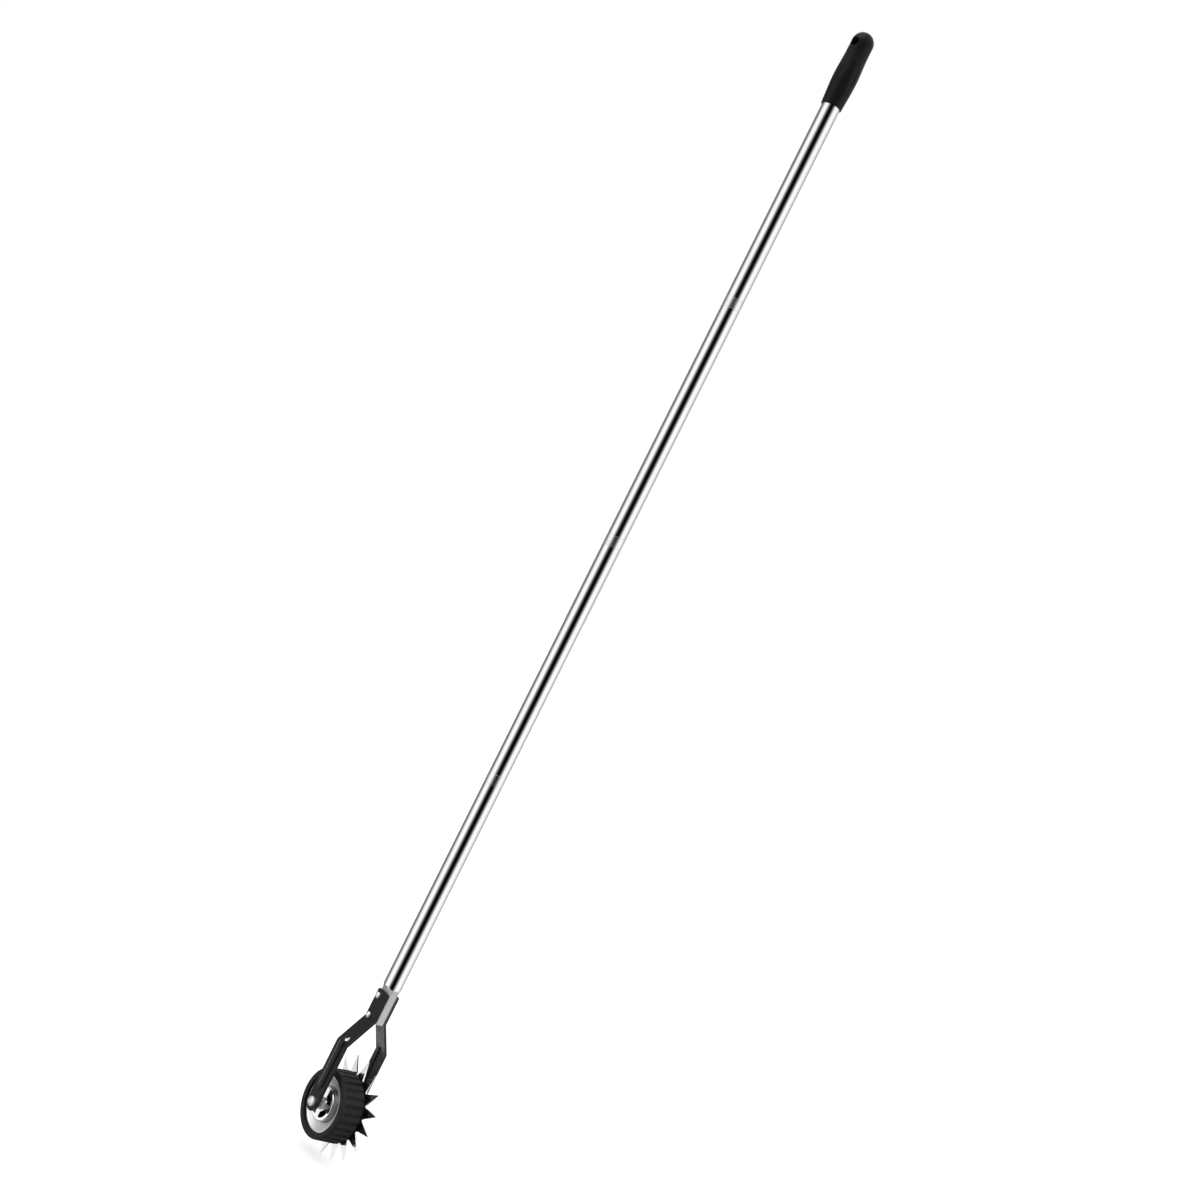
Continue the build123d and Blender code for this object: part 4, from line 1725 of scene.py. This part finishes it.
@dataclass
class Studio:
    """The floor, the light and the camera.

    Angles round the camera are in degrees, from behind it at 0, with its right at 90. Heights in the sky
    are sines of the elevation.

    Attributes:
        azimuth: Where the camera stands round the handle, in degrees.
        roll: How far the handle leans in the picture, in degrees.
        aim_height: The height that the camera looks at, in millimetres.
        aim_right: How far to the handle's right it looks.
        distance: How far off it stands.
        lens: The lens, in millimetres.
        sensor: The sensor's width.
        sight: How far the camera sees, in metres.
        floor_drop: How far the floor lies below the tool, in millimetres.
        floor_size: The floor's size, in metres.
        floor_level: The floor's grey.
        floor_roughness: The floor's roughness.
        glow: What makes up the floor's white for the camera.
        fill: The even light on dull surfaces.
        horizon: The brightness that polished surfaces mirror, by angle round the camera.
        sky: The heights where the horizon turns to white sky.
        ground: The heights where it turns to dim ground.
        ground_dimming: How much darker the ground is.
        table_near: The angles where the white table on the camera's left ends.
        table_far: The angles where it starts.
        table_top: The heights where it ends.
        lamp_energy: The lamp's strength.
        lamp_angle: The angle that it spans, in degrees.
        lamp_place: How far it is behind, to the right of and above the tool, in any unit.
    """

    azimuth: float = 50.1
    roll: float = 26.50
    aim_height: float = -690.56
    aim_right: float = 15.0
    distance: float = 1913.6
    lens: float = 50.8
    sensor: float = 36.0
    sight: float = 200.0
    floor_drop: float = 0.4
    floor_size: float = 60.0
    floor_level: float = 0.6
    floor_roughness: float = 0.9
    glow: float = 0.56
    fill: float = 0.9
    horizon: tuple[Range, ...] = (
        (-180.0, 0.30),
        (-150.0, 0.22),
        (-135.0, 0.17),
        (-124.0, 0.17),
        (-112.0, 0.24),
        (-103.0, 0.38),
        (-94.0, 0.64),
        (-86.0, 0.90),
        (-78.0, 1.04),
        (-60.0, 1.07),
        (-47.0, 0.96),
        (-35.0, 0.50),
        (-23.0, 0.11),
        (-11.0, 0.008),
        (3.0, 0.0),
        (17.0, 0.006),
        (29.0, 0.10),
        (41.0, 0.47),
        (53.0, 0.93),
        (65.0, 1.06),
        (80.0, 1.07),
        (96.0, 0.98),
        (104.0, 0.85),
        (112.0, 0.67),
        (124.0, 0.53),
        (135.0, 0.50),
        (180.0, 0.40),
    )
    sky: Range = (0.345, 0.50)
    ground: Range = (-0.56, -0.36)
    ground_dimming: float = 0.45
    table_near: Range = (-92.0, -80.0)
    table_far: Range = (-160.0, -130.0)
    table_top: Range = (-0.31, -0.27)
    lamp_energy: float = 0.8
    lamp_angle: float = 50.0
    lamp_place: Place = (0.6, -0.7, 1.2)

    def __post_init__(self) -> None:
        """Works out the camera's own directions."""
        turn = math.radians(self.azimuth)
        self.right = Vector((math.cos(turn), math.sin(turn), 0.0))
        self.back = Vector((math.sin(turn), -math.cos(turn), 0.0))
        self.up = Vector((0.0, 0.0, 1.0))

    @staticmethod
    def _turn(degrees: float) -> float:
        """An angle round the camera as a share of the whole turn."""
        return degrees / 360.0 + 0.5

    def camera(self) -> None:
        """Stands the camera where the picture was taken from."""
        data = bpy.data.cameras.new("camera")
        data.lens = self.lens
        data.sensor_width = self.sensor
        data.clip_end = self.sight
        camera = bpy.data.objects.new("camera", data)
        bpy.context.scene.collection.objects.link(camera)
        lean = math.radians(self.roll)
        across = self.right * math.cos(lean) + self.up * math.sin(lean)
        upward = self.up * math.cos(lean) - self.right * math.sin(lean)
        aim = self.right * self.aim_right * MM + self.up * self.aim_height * MM
        camera.matrix_world = Matrix((across, upward, self.back)).transposed().to_4x4()
        camera.location = aim + self.back * self.distance * MM
        bpy.context.scene.camera = camera

    def floor(self) -> None:
        """Lays the pale floor, which keeps the tool's shadow."""
        Bench.clear()
        low = cad_box[0].z - self.floor_drop * MM
        bpy.ops.mesh.primitive_plane_add(size=self.floor_size, location=(0.0, 0.0, low))
        floor = bpy.context.object
        floor.name = "floor"
        floor.visible_glossy = False
        material, sheet, shader = blank_material("pale_floor")
        shader.inputs["Base Color"].default_value = gray(self.floor_level)
        shader.inputs["Roughness"].default_value = self.floor_roughness
        shader.inputs["Specular IOR Level"].default_value = 0.0
        shader.inputs["Emission Color"].default_value = WHITE
        seen = sheet.add("LightPath").outputs["Is Camera Ray"]
        sheet.feed(shader.inputs["Emission Strength"], sheet.math("MULTIPLY", seen, self.glow))
        floor.data.materials.append(material)

    def world(self) -> None:
        """Surrounds the tool with a white studio that is dark behind the camera."""
        world = bpy.data.worlds.new("studio")
        bpy.context.scene.world = world
        world.use_nodes = True
        world.node_tree.nodes.clear()
        world.cycles.sampling_method = "NONE"
        sheet = NodeSheet(world.node_tree)
        path = sheet.add("LightPath").outputs
        light = sheet.mix(path["Is Glossy Ray"], gray(self.fill), self._mirrored(sheet))
        seen = sheet.math("MAXIMUM", path["Is Camera Ray"], path["Is Transmission Ray"])
        background = sheet.add("Background")
        sheet.feed(background.inputs["Color"], sheet.mix(seen, light, WHITE))
        sheet.feed(sheet.add("OutputWorld").inputs["Surface"], background.outputs[0])

    def _mirrored(self, sheet: NodeSheet) -> Socket:
        """The studio as polished surfaces mirror it.

        Args:
            sheet: The world's sheet.

        Returns:
            Its colour in each direction.
        """
        ray = sheet.add("TexCoord").outputs["Generated"]
        angle = sheet.math("ARCTAN2", sheet.dot(ray, self.right), sheet.dot(ray, self.back))
        turn = sheet.math("ADD", sheet.math("MULTIPLY", angle, 0.5 / math.pi), self._turn(0.0))
        height = sheet.split(ray)[2]
        ramp = sheet.add("ValToRGB")
        stops = ramp.color_ramp.elements
        while len(stops) < len(self.horizon):
            stops.new(self._turn(0.0))
        for stop, (degrees, _) in zip(stops, self.horizon):
            stop.position = self._turn(degrees)
        for stop, (_, level) in zip(stops, self.horizon):
            stop.color = gray(level)
        sheet.feed(ramp.inputs[0], turn)
        near = sheet.fall(turn, *[self._turn(degrees) for degrees in self.table_near])
        far = sheet.span(turn, *[self._turn(degrees) for degrees in self.table_far])
        table = sheet.math("MULTIPLY", near, far, sheet.fall(height, *self.table_top))
        studio = sheet.mix(table, ramp.outputs[0], WHITE)
        studio = sheet.mix(sheet.span(height, *self.sky), studio, WHITE)
        dim = sheet.mix(self.ground_dimming, ramp.outputs[0], BLACK)
        return sheet.mix(sheet.fall(height, *self.ground), studio, dim)

    def lamp(self) -> None:
        """Hangs one wide soft lamp above and to the camera's left."""
        data = bpy.data.lights.new("soft_lamp", "SUN")
        data.energy = self.lamp_energy
        data.angle = math.radians(self.lamp_angle)
        lamp = bpy.data.objects.new("soft_lamp", data)
        bpy.context.scene.collection.objects.link(lamp)
        behind, right, above = self.lamp_place
        towards = self.back * behind + self.right * right + self.up * above
        lamp.rotation_euler = towards.to_track_quat("Z", "Y").to_euler()

    def build(self) -> None:
        """Sets the stage."""
        bpy.context.scene.view_settings.view_transform = "Standard"
        self.camera()
        self.floor()
        self.world()
        self.lamp()


def main() -> None:
    """Builds the tool and its stage."""
    logging.basicConfig(level=logging.INFO, format="%(name)s %(message)s")
    paintbox = Paintbox()
    handle = Handle(paintbox)
    handle.dress()
    fork = Fork(paintbox)
    fork.dress()
    fork.build()
    axle = Axle(paintbox)
    axle.dress()
    axle.build()
    wheel = Wheel(paintbox)
    wheel.dress()
    wheel.build()
    Studio().build()


if __name__ == "__main__":
    main()
